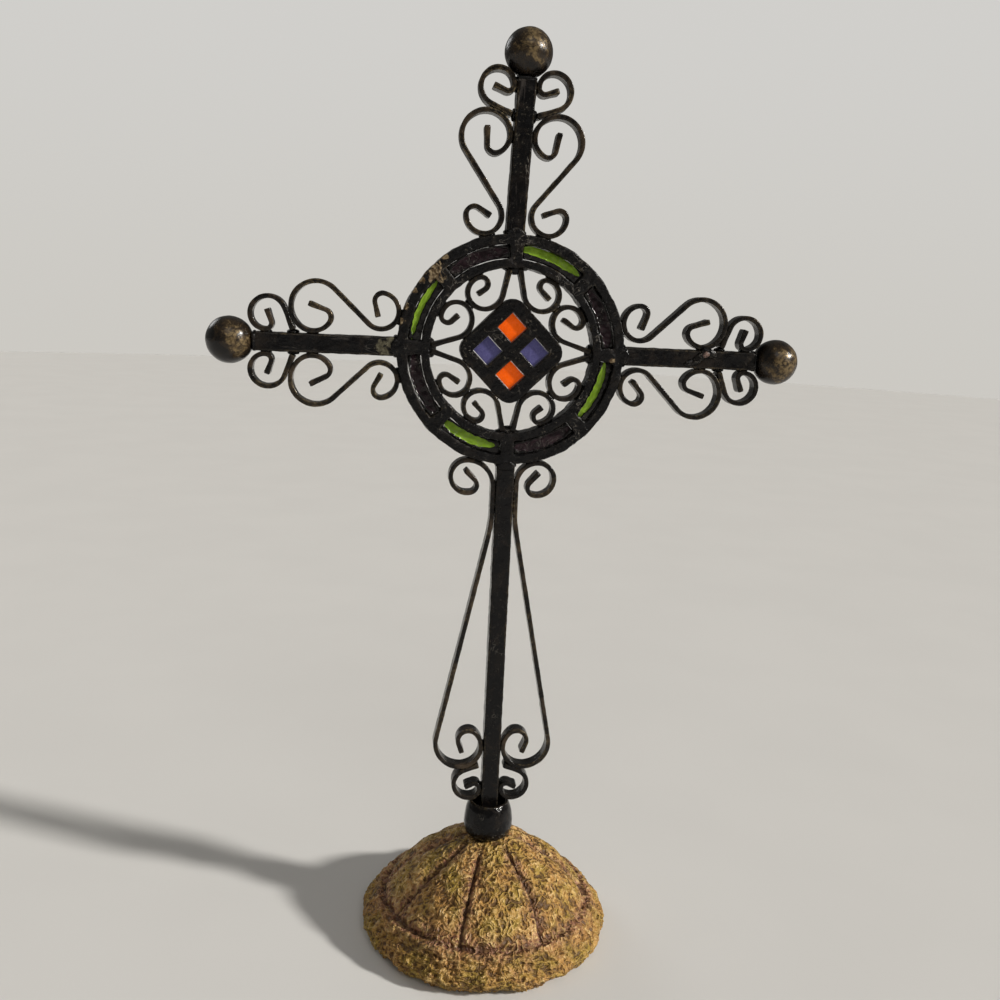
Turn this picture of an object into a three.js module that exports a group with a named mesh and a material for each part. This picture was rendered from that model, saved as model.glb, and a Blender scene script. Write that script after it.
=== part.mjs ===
// Wrought iron table cross on a moulded stone foot.
//
// Four square bars stand out from a cast ring that is glazed with eight coloured panes. Scrolls bent from
// flat strap fill the corners between the bars and the ring, and eight more hold a glazed diamond in the
// middle of the ring. The lower bar stands in a black collar on a low dome with eight lobes.
//
// Millimetres, +Z up, the front of the cross towards -Y, origin under the middle of the foot.
// Every scroll is drawn flat, in its own arm's plane: u runs out along the arm from the middle of the ring,
// v runs sideways from the middle of the bar.

import * as THREE from 'three';

// Two pieces that are welded, glued or seated together keep this much between them.
const clearance = 0.3;

// Cross
const crossHeight = 277; // middle of the ring above the table
const barWidth = 8;
const sideReach = 120; // middle of the ring to the middle of a side ball
const topReach = 122.4; // the same for the top ball
const topLean = 1.8; // degrees, the top bar was welded on a little askew
const topShift = 0.8; // and a little to the left
const ballRadius = 10;

// Strap of the scrolls
const strapThickness = 1.8;
const strapDepth = 6.6;
const bendStep = 20; // degrees of bend for each facet

// Ring and its glass
const ringRadius = 49.7;
const ringBore = ringRadius - 14.1; // inner radius
const ringDepth = 9;
const rimFacets = 64;
const boreFacets = 48;
const slotCount = 8;
const slotInner = ringBore + 3.6;
const slotOuter = ringRadius - 4.3;
const slotSpan = 37; // degrees
const paneDepth = 3;
const paneInset = 3; // front of the ring down to the front of the glass

// Diamond and its glass
const diamondSide = ringBore;
const diamondCorner = 6.5;
const diamondDepth = 7;
const windowSide = 9.3;
const windowPitch = 14.5;
const windowInset = 2; // front of the diamond down to the front of the glass

// Foot
// Profiles are turned about the upright axis. Each point is a radius and a height.
const rimProfile = [[50, 0], [56, 1.7], [58.6, 5], [57.5, 8.3], [54.2, 12], [50.8, 15.3]];
const creasePoint = [48.6, 16.6]; // where the dome meets the rim
const domeProfile = [[46.7, 19.2], [44, 22.2], [36.5, 30.6], [25.5, 38.1], [14.1, 44.4]];
const domeFlat = 9; // radius of the flat top under the collar
const domeHeight = 46;
const lobeRise = 1.9; // crest of a lobe above its two grooves
const lobeSink = 0.7; // share of the rise that lies below the turned dome
const lobeLift = 53; // degrees, the way a lobe swells, above level
const grooveAngles = [0, 44, 85, 130, 170, 208, 251, 303]; // degrees round the foot
const lobeSteps = [0, 0.08, 0.27, 0.5, 0.73, 0.92]; // facet lines from one groove to the next

// Collar
const collarProfile = [[8, 0], [10.7, 2.5], [11.6, 6.5], [11.3, 10.8], [10.5, 14.8], [9.4, 18]];
const collarHeight = 18;
const cupRadius = 7.8; // the open cup that the lower bar stands in
const cupFloor = 12; // above the bottom of the collar
const turnedFacets = 24;

// Scrolls, as bends [degrees, radius] with a straight hook at the end. Each is laid from its hook inwards.
const armCurl = { bends: [[104, 3.4], [99, 8.4], [183, 10.7]], hook: 7.6 };
const armTail = { bends: [[-215, 7.6], [-123, 3.4]], hook: 6.1 };
const ballCurl = { bends: [[109, 2.5], [89, 6.3], [161, 7.4]], hook: 5.4, run: 9.5 };
const neckCurl = { bends: [[118, 3.4], [198, 7.4]], swing: 86, hook: 6.2, run: 11, ease: 60 };
const footCurl = { bends: [[-94, 12], [-141, 9.8], [-158, 4.8]], hook: 4.6 };
const collarCurl = { bends: [[103, 2.4], [87, 4.4], [173, 7.2]], hook: 3.9, run: 7.2 };
const ringCurl = {
  bends: [[-105, ringBore * 0.236], [-140, ringBore * 0.194], [-141, ringBore * 0.0815]],
  hook: ringBore * 0.126,
};

// How each copy came out of the smith's hands: slope of its straight to the bar and the extra bend of its
// two hooks, in degrees, and the size of its large curl. Below them, the room left in front of each ball.
const armCopies = {
  left: {
    upper: { slope: 43.7, hook: -2, tail: 10, size: 1 },
    lower: { slope: 43.7, hook: -9, tail: -5, size: 1 },
  },
  right: {
    upper: { slope: 43.6, hook: 0, tail: 4, size: 1 },
    lower: { slope: 46, hook: 1, tail: -18, size: 1 },
  },
  top: {
    left: { slope: 37, hook: 7, tail: 2, size: 0.97 },
    right: { slope: 38, hook: 3, tail: 8, size: 0.97 },
  },
};
const ballRoom = { left: 1.9, right: 1.6, top: 0.6 };
const neckCopies = { right: { hook: 0, radius: 9.6 }, left: { hook: -3, radius: 12 } };
const collarRoom = 1.2; // between the lowest curl and the collar's lip
const ballSlope = 69; // degrees, end of a short scroll against the bar

// The same for the scrolls inside the ring, with the extra length of their tips, and how far the ends of
// each pair stand from the middle of the arm.
const ringCopies = {
  top: { left: { hook: -16, tip: -0.5 }, right: { hook: -8, tip: 0.6 } },
  left: { upper: { hook: 0, tip: -0.4 }, lower: { hook: 12, tip: 1 } },
  right: { upper: { hook: 10, tip: 1.2 }, lower: { hook: 8, tip: -0.8 } },
  lower: { left: { hook: -6, tip: 0.3 }, right: { hook: -14, tip: -1 } },
};
const ringSpread = { top: 2.3, left: 1.15, right: 1.15, lower: 2.2 };
const ringScrollReach = ringBore * 0.469; // middle of the ring to the belly of a ring scroll

// Materials.

const blackIron = new THREE.MeshStandardMaterial({ color: 0x1b1a1c, roughness: 0.5, metalness: 0.6 });
const rubbedIron = new THREE.MeshStandardMaterial({ color: 0x4b3b26, roughness: 0.4, metalness: 0.7 });
const footStone = new THREE.MeshStandardMaterial({ color: 0xa5873f, roughness: 0.75, metalness: 0 });
const greenGlass = new THREE.MeshStandardMaterial({ color: 0x5f8c1e, roughness: 0.25, metalness: 0 });
const plumGlass = new THREE.MeshStandardMaterial({ color: 0x24161e, roughness: 0.25, metalness: 0 });
const orangeGlass = new THREE.MeshStandardMaterial({ color: 0xd65400, roughness: 0.25, metalness: 0 });
const slateGlass = new THREE.MeshStandardMaterial({ color: 0x4b466e, roughness: 0.25, metalness: 0 });

// Helpers.

const radians = THREE.MathUtils.degToRad;
const tolerance = 0.0005; // of every solved length, millimetres, and angle, degrees

function named(name, geometry, material) {
  const mesh = new THREE.Mesh(geometry, material);
  mesh.name = name;
  return mesh;
}

// A flat outline made thick, centred on the plane of the cross.
function slab(outline, depth, holes = []) {
  const shape = new THREE.Shape(outline);
  shape.holes = holes.map((hole) => new THREE.Path(hole));
  const geometry = new THREE.ExtrudeGeometry(shape, { depth, bevelEnabled: false });
  geometry.translate(0, 0, -depth / 2);
  return geometry;
}

function arc(radius, fromAngle, toAngle, steps) {
  const points = [];
  for (let i = 0; i <= steps; i += 1) {
    const angle = radians(fromAngle + ((toAngle - fromAngle) * i) / steps);
    points.push(new THREE.Vector2(radius * Math.cos(angle), radius * Math.sin(angle)));
  }
  return points;
}

function circle(radius, steps) {
  return arc(radius, 0, 360, steps).slice(0, -1);
}

// The middle line of a strap: runs and bends laid end to end from a starting point and direction.
function route(start, direction, steps) {
  const points = [start.clone()];
  let angle = radians(direction);
  let place = start.clone();
  for (const [amount, radius] of steps) {
    if (radius === undefined) {
      place = place.clone().addScaledVector(new THREE.Vector2(Math.cos(angle), Math.sin(angle)), amount);
      points.push(place);
      continue;
    }
    const turn = radians(amount);
    const inward = new THREE.Vector2(-Math.sin(angle), Math.cos(angle)).multiplyScalar(Math.sign(turn));
    const centre = place.clone().addScaledVector(inward, radius);
    const facets = Math.max(2, Math.round(Math.abs(amount) / bendStep));
    for (let i = 1; i <= facets; i += 1) {
      points.push(place.clone().rotateAround(centre, (turn * i) / facets));
    }
    place = points[points.length - 1];
    angle += turn;
  }
  return points;
}

// Both faces of the strap, as one closed outline with square ends.
function strapOutline(line) {
  const left = [];
  const right = [];
  for (let i = 0; i < line.length; i += 1) {
    const before = line[Math.max(0, i - 1)];
    const after = line[Math.min(line.length - 1, i + 1)];
    const here = line[i];
    const inDirection = here.clone().sub(before).normalize();
    const outDirection = after.clone().sub(here).normalize();
    const along = inDirection.clone().add(outDirection).normalize();
    const leading = inDirection.lengthSq() > 0 ? inDirection : outDirection;
    const half = strapThickness / 2 / Math.max(0.5, along.dot(leading));
    const across = new THREE.Vector2(-along.y, along.x).multiplyScalar(half);
    left.push(here.clone().add(across));
    right.push(here.clone().sub(across));
  }
  return [...left, ...right.reverse()];
}

function moved(line, du, dv) {
  return line.map((point) => new THREE.Vector2(point.x + du, point.y + dv));
}

// The value between low and high where a rising or falling measure passes through nought.
function solve(measure, low, high) {
  const rising = measure(high) > measure(low);
  let from = low;
  let to = high;
  while (to - from > tolerance) {
    const middle = (from + to) / 2;
    if ((measure(middle) > 0) === rising) {
      to = middle;
    } else {
      from = middle;
    }
  }
  return (from + to) / 2;
}

function pointToSegment(point, a, b) {
  const along = b.clone().sub(a);
  const share = THREE.MathUtils.clamp(point.clone().sub(a).dot(along) / along.lengthSq(), 0, 1);
  return point.distanceTo(a.clone().addScaledVector(along, share));
}

function crosses(a, b, c, d) {
  const side = (p, q, r) => (q.x - p.x) * (r.y - p.y) - (q.y - p.y) * (r.x - p.x);
  return side(a, b, c) * side(a, b, d) < 0 && side(c, d, a) * side(c, d, b) < 0;
}

// Shortest way between two lines of points, nought where they cross.
function apart(first, second) {
  let shortest = Infinity;
  for (let i = 1; i < first.length; i += 1) {
    for (let j = 1; j < second.length; j += 1) {
      const [a, b, c, d] = [first[i - 1], first[i], second[j - 1], second[j]];
      if (crosses(a, b, c, d)) {
        return 0;
      }
      shortest = Math.min(
        shortest,
        pointToSegment(a, c, d),
        pointToSegment(b, c, d),
        pointToSegment(c, a, b),
        pointToSegment(d, a, b),
      );
    }
  }
  return shortest;
}

function nearest(line, centre) {
  return Math.min(...strapOutline(line).map((point) => point.distanceTo(centre)));
}

// Sideways until the strap lies against the bar.
function againstBar(line) {
  return moved(line, 0, barWidth / 2 + clearance - lowest(line));
}

// Along the arm until the strap lies against the outside of the ring.
function againstRing(line, ringCentre) {
  const measure = (du) => nearest(moved(line, du, 0), ringCentre) - ringRadius - clearance;
  const start = ringRadius + ringCentre.x - Math.min(...line.map((point) => point.x));
  return moved(line, solve(measure, start - ringRadius / 2, start + ringRadius), 0);
}

// Along the arm until one strap lies against another that sits nearer the ring.
function againstStrap(line, other) {
  const reach = Math.max(...other.map((point) => point.x)) - Math.min(...line.map((point) => point.x));
  const measure = (du) => apart(moved(line, du, 0), other) - strapThickness - clearance;
  return moved(line, solve(measure, reach - ringRadius / 2, reach + 2 * strapThickness), 0);
}

// Scrolls on the arms.

const total = (bends) => bends.reduce((sum, [amount]) => sum + amount, 0);
const furthest = (line) => Math.max(...strapOutline(line).map((point) => point.x));
const lowest = (line) => Math.min(...strapOutline(line).map((point) => point.y));

function armRoute(copy, straight) {
  const [firstBend, ...otherBends] = armCurl.bends;
  const [tailBend, lastBend] = armTail.bends;
  const curl = [[firstBend[0] + copy.hook, firstBend[1]], ...otherBends];
  const sized = curl.map(([amount, radius]) => [amount, radius * copy.size]);
  const tail = [tailBend, [lastBend[0] + copy.tail, lastBend[1]]];
  const start = 180 + copy.slope - total(curl);
  return route(new THREE.Vector2(), start, [[armCurl.hook], ...sized, [straight], ...tail, [armTail.hook]]);
}

// The short scrolls beside the balls and above the collar.
function shortRoute(curl) {
  const start = 180 + ballSlope - total(curl.bends);
  return route(new THREE.Vector2(), start, [[curl.hook], ...curl.bends, [curl.run]]);
}

// A large and a small scroll that fill the bar from the ring to the ball.
function armPair(copy, room, reach, ringCentre) {
  const ball = new THREE.Vector2(reach, 0);
  const lay = (straight) => {
    const large = againstRing(againstBar(armRoute(copy, straight)), ringCentre);
    const small = againstStrap(againstBar(shortRoute(ballCurl)), large);
    return { large, small };
  };
  const measure = (straight) => nearest(lay(straight).small, ball) - ballRadius - room;
  return lay(solve(measure, 1, reach));
}

function longRoute(copy, straight, slope) {
  const [[turn, radius], secondBend] = neckCurl.bends;
  const start = 360 - total(neckCurl.bends) - neckCurl.swing + copy.hook;
  const neck = [[neckCurl.hook], [turn - copy.hook, radius], secondBend, [neckCurl.swing, copy.radius]];
  const side = [[neckCurl.run], [slope, neckCurl.ease], [straight]];
  return route(new THREE.Vector2(), start, [...neck, ...side, ...footCurl.bends, [footCurl.hook]]);
}

// A long and a short scroll that fill the lower bar from the ring to the collar. The long one slopes so
// that both of its curls lie against the bar.
function lowerPair(copy, reach, ringCentre) {
  const uneven = (line) => {
    const half = Math.round(line.length / 2);
    return lowest(line.slice(0, half)) - lowest(line.slice(half));
  };
  const lay = (straight) => {
    const slope = solve((angle) => uneven(longRoute(copy, straight, angle)), 5, 30);
    const large = againstRing(againstBar(longRoute(copy, straight, slope)), ringCentre);
    const small = againstStrap(againstBar(shortRoute(collarCurl)), large);
    return { large, small };
  };
  const measure = (straight) => reach - collarRoom - furthest(lay(straight).small);
  return lay(solve(measure, ringRadius, reach));
}

// Scrolls inside the ring.

function diamondOutline() {
  const half = diamondSide / 2 - diamondCorner;
  const corners = [[1, 1, 0], [-1, 1, 90], [-1, -1, 180], [1, -1, 270]];
  const rounded = ([x, y, turn]) => moved(arc(diamondCorner, turn, turn + 90, 5), x * half, y * half);
  return corners.flatMap(rounded).map((point) => point.rotateAround(new THREE.Vector2(), Math.PI / 4));
}

const diamond = diamondOutline();

// Nought on the edge of the diamond and more outside it.
function besideDiamond(point) {
  const turned = point.clone().rotateAround(new THREE.Vector2(), Math.PI / 4);
  const half = diamondSide / 2 - diamondCorner;
  const x = Math.abs(turned.x) - half;
  const y = Math.abs(turned.y) - half;
  return Math.hypot(Math.max(x, 0), Math.max(y, 0)) + Math.min(Math.max(x, y), 0) - diamondCorner;
}

// Points along a line, a few in each of its runs.
function dotted(line) {
  const shares = [0.25, 0.5, 0.75, 1];
  return line.slice(1).flatMap((point, i) => shares.map((share) => line[i].clone().lerp(point, share)));
}

// Starts against the ring. Its straight leans so that the belly reaches its place, and runs until it meets
// the diamond, and its curl is sized so that the back meets the ring.
function ringRoute(copy, spread) {
  const lay = (size, lean, straight) => {
    const [belly, back, hook] = ringCurl.bends;
    const line = route(new THREE.Vector2(0, spread), 180 - lean, [
      [straight],
      [belly[0], belly[1] * size],
      [back[0], back[1] * size],
      [hook[0] + copy.hook, hook[1] * size],
      [(ringCurl.hook + copy.tip) * size],
    ]);
    const outline = strapOutline(line);
    const ends = [outline[0], outline[outline.length - 1]];
    const measure = (du) => Math.max(...ends.map((p) => Math.hypot(p.x + du, p.y))) - ringBore + clearance;
    return moved(line, solve(measure, ringBore / 2, ringBore), 0);
  };
  const gap = strapThickness / 2 + clearance;
  const closest = (line) => Math.min(...dotted(line).map(besideDiamond));
  const meeting = (size, lean, straight) => closest(lay(size, lean, straight)) - gap;
  const runFor = (size, lean) => solve((straight) => meeting(size, lean, straight), 1, ringBore / 2);
  const leant = (size, lean) => lay(size, lean, runFor(size, lean));
  const belly = (line) => Math.min(...strapOutline(line).map((point) => point.x));
  const leanFor = (size) => solve((lean) => belly(leant(size, lean)) - ringScrollReach, 2, 30);
  const sized = (size) => leant(size, leanFor(size));
  const outermost = (line) => Math.max(...strapOutline(line.slice(2)).map((point) => point.length()));
  return sized(solve((size) => outermost(sized(size)) - ringBore + clearance, 0.6, 1.3));
}

// Building the cross.

const mirrored = (line, side) => line.map((point) => new THREE.Vector2(point.x, point.y * side));

function strap(name, line, side) {
  return named(name, slab(strapOutline(mirrored(line, side)), strapDepth), blackIron);
}

// A group whose x axis runs out along the arm. Its foot on the ring may be shifted sideways, and the arm
// leans about that foot.
function armGroup(angle, lean = 0, shift = 0) {
  const group = new THREE.Group();
  const seat = new THREE.Vector2(ringRadius, shift).rotateAround(new THREE.Vector2(), radians(angle));
  const swung = new THREE.Vector2(ringRadius, 0).rotateAround(new THREE.Vector2(), radians(angle + lean));
  group.position.set(seat.x - swung.x, seat.y - swung.y, 0);
  group.rotation.z = radians(angle + lean);
  return group;
}

function ringCentreIn(group) {
  const centre = new THREE.Vector2(-group.position.x, -group.position.y);
  return centre.rotateAround(new THREE.Vector2(), -group.rotation.z);
}

function bar(name, from, to) {
  const geometry = new THREE.BoxGeometry(to - from, barWidth, barWidth);
  geometry.translate((from + to) / 2, 0, 0);
  return named(name, geometry, blackIron);
}

function arm(name, angle, reach, sides, lean, shift) {
  const group = armGroup(angle, lean, shift);
  const ringCentre = ringCentreIn(group);
  group.add(bar(`${name}_bar`, ringRadius + clearance, reach - ballRadius - clearance));
  const ball = named(`${name}_ball`, new THREE.SphereGeometry(ballRadius, 20, 10), rubbedIron);
  ball.position.x = reach;
  group.add(ball);
  for (const [sideName, side] of Object.entries(sides)) {
    const centre = new THREE.Vector2(ringCentre.x, ringCentre.y * side);
    const pair = armPair(armCopies[name][sideName], ballRoom[name], reach, centre);
    group.add(strap(`${name}_arm_scroll_${sideName}`, pair.large, side));
    group.add(strap(`${name}_ball_scroll_${sideName}`, pair.small, side));
  }
  return group;
}

function lowerArm() {
  const group = armGroup(-90);
  const collarSeat = crossHeight - domeHeight - clearance;
  group.add(bar('lower_bar', ringRadius + clearance, collarSeat - cupFloor - clearance));
  for (const [sideName, side] of [['right', 1], ['left', -1]]) {
    const pair = lowerPair(neckCopies[sideName], collarSeat - collarHeight, new THREE.Vector2());
    group.add(strap(`lower_long_scroll_${sideName}`, pair.large, side));
    group.add(strap(`lower_collar_scroll_${sideName}`, pair.small, side));
  }
  return group;
}

function sector(inner, outer, fromAngle, toAngle, steps) {
  return [...arc(outer, fromAngle, toAngle, steps), ...arc(inner, toAngle, fromAngle, steps)];
}

function ringAndPanes() {
  const group = new THREE.Group();
  const steps = 6;
  const slots = [];
  for (let i = 0; i < slotCount; i += 1) {
    const middle = ((i + 0.5) * 360) / slotCount;
    slots.push(sector(slotInner, slotOuter, middle - slotSpan / 2, middle + slotSpan / 2, steps));
    const half = slotSpan / 2 - THREE.MathUtils.radToDeg(clearance / slotInner);
    const pane = sector(slotInner + clearance, slotOuter - clearance, middle - half, middle + half, steps);
    const glass = i % 2 === 1 ? greenGlass : plumGlass;
    const mesh = named(`ring_pane_${i + 1}`, slab(pane, paneDepth), glass);
    mesh.position.z = ringDepth / 2 - paneInset - paneDepth / 2;
    group.add(mesh);
  }
  const holes = [circle(ringBore, boreFacets), ...slots];
  group.add(named('ring', slab(circle(ringRadius, rimFacets), ringDepth, holes), blackIron));
  return group;
}

function square(side, centre) {
  const half = side / 2;
  const corners = [[-half, -half], [half, -half], [half, half], [-half, half]];
  const points = corners.map(([x, y]) => new THREE.Vector2(x, y).add(centre));
  return points.map((point) => point.rotateAround(new THREE.Vector2(), Math.PI / 4));
}

function diamondAndPanes() {
  const group = new THREE.Group();
  const half = windowPitch / 2;
  const windows = [
    ['top', half, half, orangeGlass],
    ['left', -half, half, slateGlass],
    ['lower', -half, -half, orangeGlass],
    ['right', half, -half, slateGlass],
  ];
  const holes = [];
  for (const [place, x, y, glass] of windows) {
    const centre = new THREE.Vector2(x, y);
    holes.push(square(windowSide, centre));
    const pane = slab(square(windowSide - 2 * clearance, centre), paneDepth);
    const mesh = named(`diamond_pane_${place}`, pane, glass);
    mesh.position.z = diamondDepth / 2 - windowInset - paneDepth / 2;
    group.add(mesh);
  }
  group.add(named('diamond', slab(diamond, diamondDepth, holes), blackIron));
  return group;
}

function ringScrolls() {
  const group = new THREE.Group();
  const arms = [
    ['right', 0, { upper: 1, lower: -1 }],
    ['top', 90, { left: 1, right: -1 }],
    ['left', 180, { lower: 1, upper: -1 }],
    ['lower', -90, { right: 1, left: -1 }],
  ];
  for (const [name, angle, sides] of arms) {
    const turned = new THREE.Group();
    turned.rotation.z = radians(angle);
    for (const [sideName, side] of Object.entries(sides)) {
      const line = ringRoute(ringCopies[name][sideName], ringSpread[name]);
      turned.add(strap(`ring_scroll_${name}_${sideName}`, line, side));
    }
    group.add(turned);
  }
  return group;
}

// Foot and collar.

const turnedPoints = (profile) => profile.map(([radius, height]) => new THREE.Vector2(radius, height));

// Angle round the foot of each facet line, closer together beside the grooves.
function facetAngle(index) {
  const lobe = Math.floor(index / lobeSteps.length) % grooveAngles.length;
  const from = grooveAngles[lobe];
  const next = lobe + 1 < grooveAngles.length ? grooveAngles[lobe + 1] : grooveAngles[0] + 360;
  return from + (next - from) * lobeSteps[index % lobeSteps.length];
}

// How far the dome stands out at each facet line, least in the grooves.
function swell(index) {
  const share = lobeSteps[index % lobeSteps.length];
  return lobeRise * (Math.sqrt(Math.sin(Math.PI * share)) - lobeSink);
}

function foot() {
  const top = [[domeFlat, domeHeight], [0, domeHeight]];
  const profile = turnedPoints([[0, 0], ...rimProfile, creasePoint, ...domeProfile, ...top]);
  const firstDomeRow = rimProfile.length + 2;
  const lastDomeRow = firstDomeRow + domeProfile.length - 1;
  const segments = grooveAngles.length * lobeSteps.length;
  const geometry = new THREE.LatheGeometry(profile, segments);
  const position = geometry.attributes.position;
  for (let i = 0; i < position.count; i += 1) {
    const column = Math.floor(i / profile.length) % segments;
    const row = i % profile.length;
    const onDome = row >= firstDomeRow && row <= lastDomeRow;
    const rise = onDome ? swell(column) : 0;
    const radius = profile[row].x + rise * Math.cos(radians(lobeLift));
    const height = profile[row].y + rise * Math.sin(radians(lobeLift));
    const angle = radians(facetAngle(column));
    position.setXYZ(i, radius * Math.cos(angle), radius * Math.sin(angle), height);
  }
  return named('foot', geometry, footStone);
}

function collar() {
  const cup = [[cupRadius, collarHeight], [cupRadius, cupFloor], [0, cupFloor]];
  const geometry = new THREE.LatheGeometry(turnedPoints([[0, 0], ...collarProfile, ...cup]), turnedFacets);
  geometry.rotateX(Math.PI / 2);
  const mesh = named('collar', geometry, blackIron);
  mesh.position.z = domeHeight + clearance;
  return mesh;
}

// The whole object.

const cross = new THREE.Group();
cross.rotation.x = Math.PI / 2;
cross.position.z = crossHeight;
cross.add(arm('right', 0, sideReach, { upper: 1, lower: -1 }));
cross.add(arm('left', 180, sideReach, { lower: 1, upper: -1 }));
cross.add(arm('top', 90, topReach, { left: 1, right: -1 }, -topLean, topShift));
cross.add(lowerArm());
cross.add(ringAndPanes());
cross.add(diamondAndPanes());
cross.add(ringScrolls());

const tableCross = new THREE.Group();
tableCross.add(foot(), collar(), cross);

export default tableCross;
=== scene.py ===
# %% [markdown]
# # A wrought iron table cross
#
# The real piece is a small memorial cross. A smith cut square bar and flat strap, bent the strap into
# scrolls round a horn, and tacked everything to a cast ring with small welds. The ring and the diamond in
# its middle hold coloured panes. The whole cross stands in a black collar on a moulded foot that is painted
# like old stone.
#
# The measured solids come first and are never changed. Each one is then dressed with a finer mesh of the
# same size in the same place, so that the look and the measured part always agree.

# %% Load the measured solids
import itertools
import math

import bmesh
import bpy
import numpy as np
from mathutils import Matrix, Vector


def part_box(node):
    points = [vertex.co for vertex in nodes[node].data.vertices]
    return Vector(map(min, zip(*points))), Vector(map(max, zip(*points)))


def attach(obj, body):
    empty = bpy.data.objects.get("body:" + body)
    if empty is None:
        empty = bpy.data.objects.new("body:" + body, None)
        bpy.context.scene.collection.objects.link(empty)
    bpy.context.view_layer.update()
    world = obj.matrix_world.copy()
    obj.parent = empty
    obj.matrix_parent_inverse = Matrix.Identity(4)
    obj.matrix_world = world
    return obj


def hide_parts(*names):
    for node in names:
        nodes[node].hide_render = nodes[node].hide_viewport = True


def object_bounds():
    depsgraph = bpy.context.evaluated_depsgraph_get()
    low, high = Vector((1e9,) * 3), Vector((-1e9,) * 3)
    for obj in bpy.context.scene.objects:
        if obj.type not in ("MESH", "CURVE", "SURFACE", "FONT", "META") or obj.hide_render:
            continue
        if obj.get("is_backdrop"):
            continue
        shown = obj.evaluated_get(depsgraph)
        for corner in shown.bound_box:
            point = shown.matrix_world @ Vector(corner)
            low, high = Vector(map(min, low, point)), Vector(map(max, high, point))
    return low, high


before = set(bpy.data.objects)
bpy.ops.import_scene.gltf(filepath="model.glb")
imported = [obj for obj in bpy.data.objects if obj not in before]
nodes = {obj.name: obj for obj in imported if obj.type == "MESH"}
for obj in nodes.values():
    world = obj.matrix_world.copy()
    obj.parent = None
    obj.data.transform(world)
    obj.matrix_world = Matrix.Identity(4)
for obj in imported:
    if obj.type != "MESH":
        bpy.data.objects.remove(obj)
cad_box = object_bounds()
MM = 0.001
print(len(nodes), "solids, in a box from", *[tuple(round(c / MM, 1) for c in corner) for corner in cad_box])

# %% [markdown]
# ## The camera
#
# A picture tells where it was taken from. Circles, right angles and sizes that are known on the object, such
# as the ring and the square bars, were matched to their images, which gave the place of the lens, its
# direction and its focal length. The camera stands a little to the left, a little above the ring, and leans
# to one side as a hand-held camera does. A camera in Blender looks along its own -Z, so the three columns of
# its matrix are its right side, its top and the opposite of the direction in which it looks.

# %% Set up the camera
camera_place = Vector((-54.41, -440.32, 300.09)) * MM
yaw, pitch, roll = (math.radians(angle) for angle in (6.851, 11.42, 2.773))
ahead = Vector((math.sin(yaw) * math.cos(pitch), math.cos(yaw) * math.cos(pitch), -math.sin(pitch)))
level = Vector((math.cos(yaw), -math.sin(yaw), 0))
upright = level.cross(ahead)
side = level * math.cos(roll) + upright * math.sin(roll)
top = upright * math.cos(roll) - level * math.sin(roll)

camera = bpy.data.objects.new("camera", bpy.data.cameras.new("camera"))
camera.data.sensor_width = 36
camera.data.lens = 36.18
camera.data.clip_start = 0.01
camera.matrix_world = Matrix.Translation(camera_place) @ Matrix((side, top, -ahead)).transposed().to_4x4()
bpy.context.scene.collection.objects.link(camera)
bpy.context.scene.camera = camera
print("camera", round((camera_place - Vector((0, 0, 0.277))).length, 3), "m from the ring")

# %% [markdown]
# ## Expressions that build shaders
#
# A shader is a small program made of nodes. Drawing it by hand hides the sums, so here a node's output is
# wrapped in a class that knows arithmetic: `mask * 0.5 + 0.2` adds two Math nodes. Python calls the
# reflected methods, such as `__rsub__`, when the number stands on the left, as in `1 - mask`.

# %% Wrap a node's output in a class that knows arithmetic
class Wire:
    def __init__(self, finish, output):
        self.finish = finish
        self.output = output

    def math(self, operation, *values):
        return self.finish.node("ShaderNodeMath", {"operation": operation}, values)

    def __add__(self, other):
        return self.math("ADD", self, other)

    def __sub__(self, other):
        return self.math("SUBTRACT", self, other)

    def __rsub__(self, other):
        return self.math("SUBTRACT", other, self)

    def __mul__(self, other):
        return self.math("MULTIPLY", self, other)

    def __truediv__(self, other):
        return self.math("DIVIDE", self, other)

    def __pow__(self, other):
        return self.math("POWER", self, other)

    __radd__ = __add__
    __rmul__ = __mul__

    def crest(self, width):
        """1 where the value is a half, falling to 0 at this distance from it: a thin winding line."""
        return 1 - self.math("ABSOLUTE", self - 0.5).between(0, width)

    def between(self, low, high):
        """0 below low, 1 above high, and smooth from one to the other."""
        settings = {"interpolation_type": "SMOOTHSTEP"}
        inputs = {"Value": self, "From Min": low, "From Max": high}
        return self.finish.node("ShaderNodeMapRange", settings, inputs)


print("arithmetic ready:", ", ".join(name for name in vars(Wire) if name.startswith("__r")))

# %% [markdown]
# ## A finish and its nodes
#
# `Finish.node` makes any node: the settings are set first because they can change which sockets a node has,
# then the sockets get their values or links. The other methods are the few things that every finish on this
# cross needs: noise of a real size in millimetres, a blend of two colours, and a value that was worked out
# on the mesh, such as how sharp an edge is. Noise is read in the object's own coordinates. Every piece has
# its origin under the foot, so the grain keeps its size everywhere and never slides.

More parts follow.
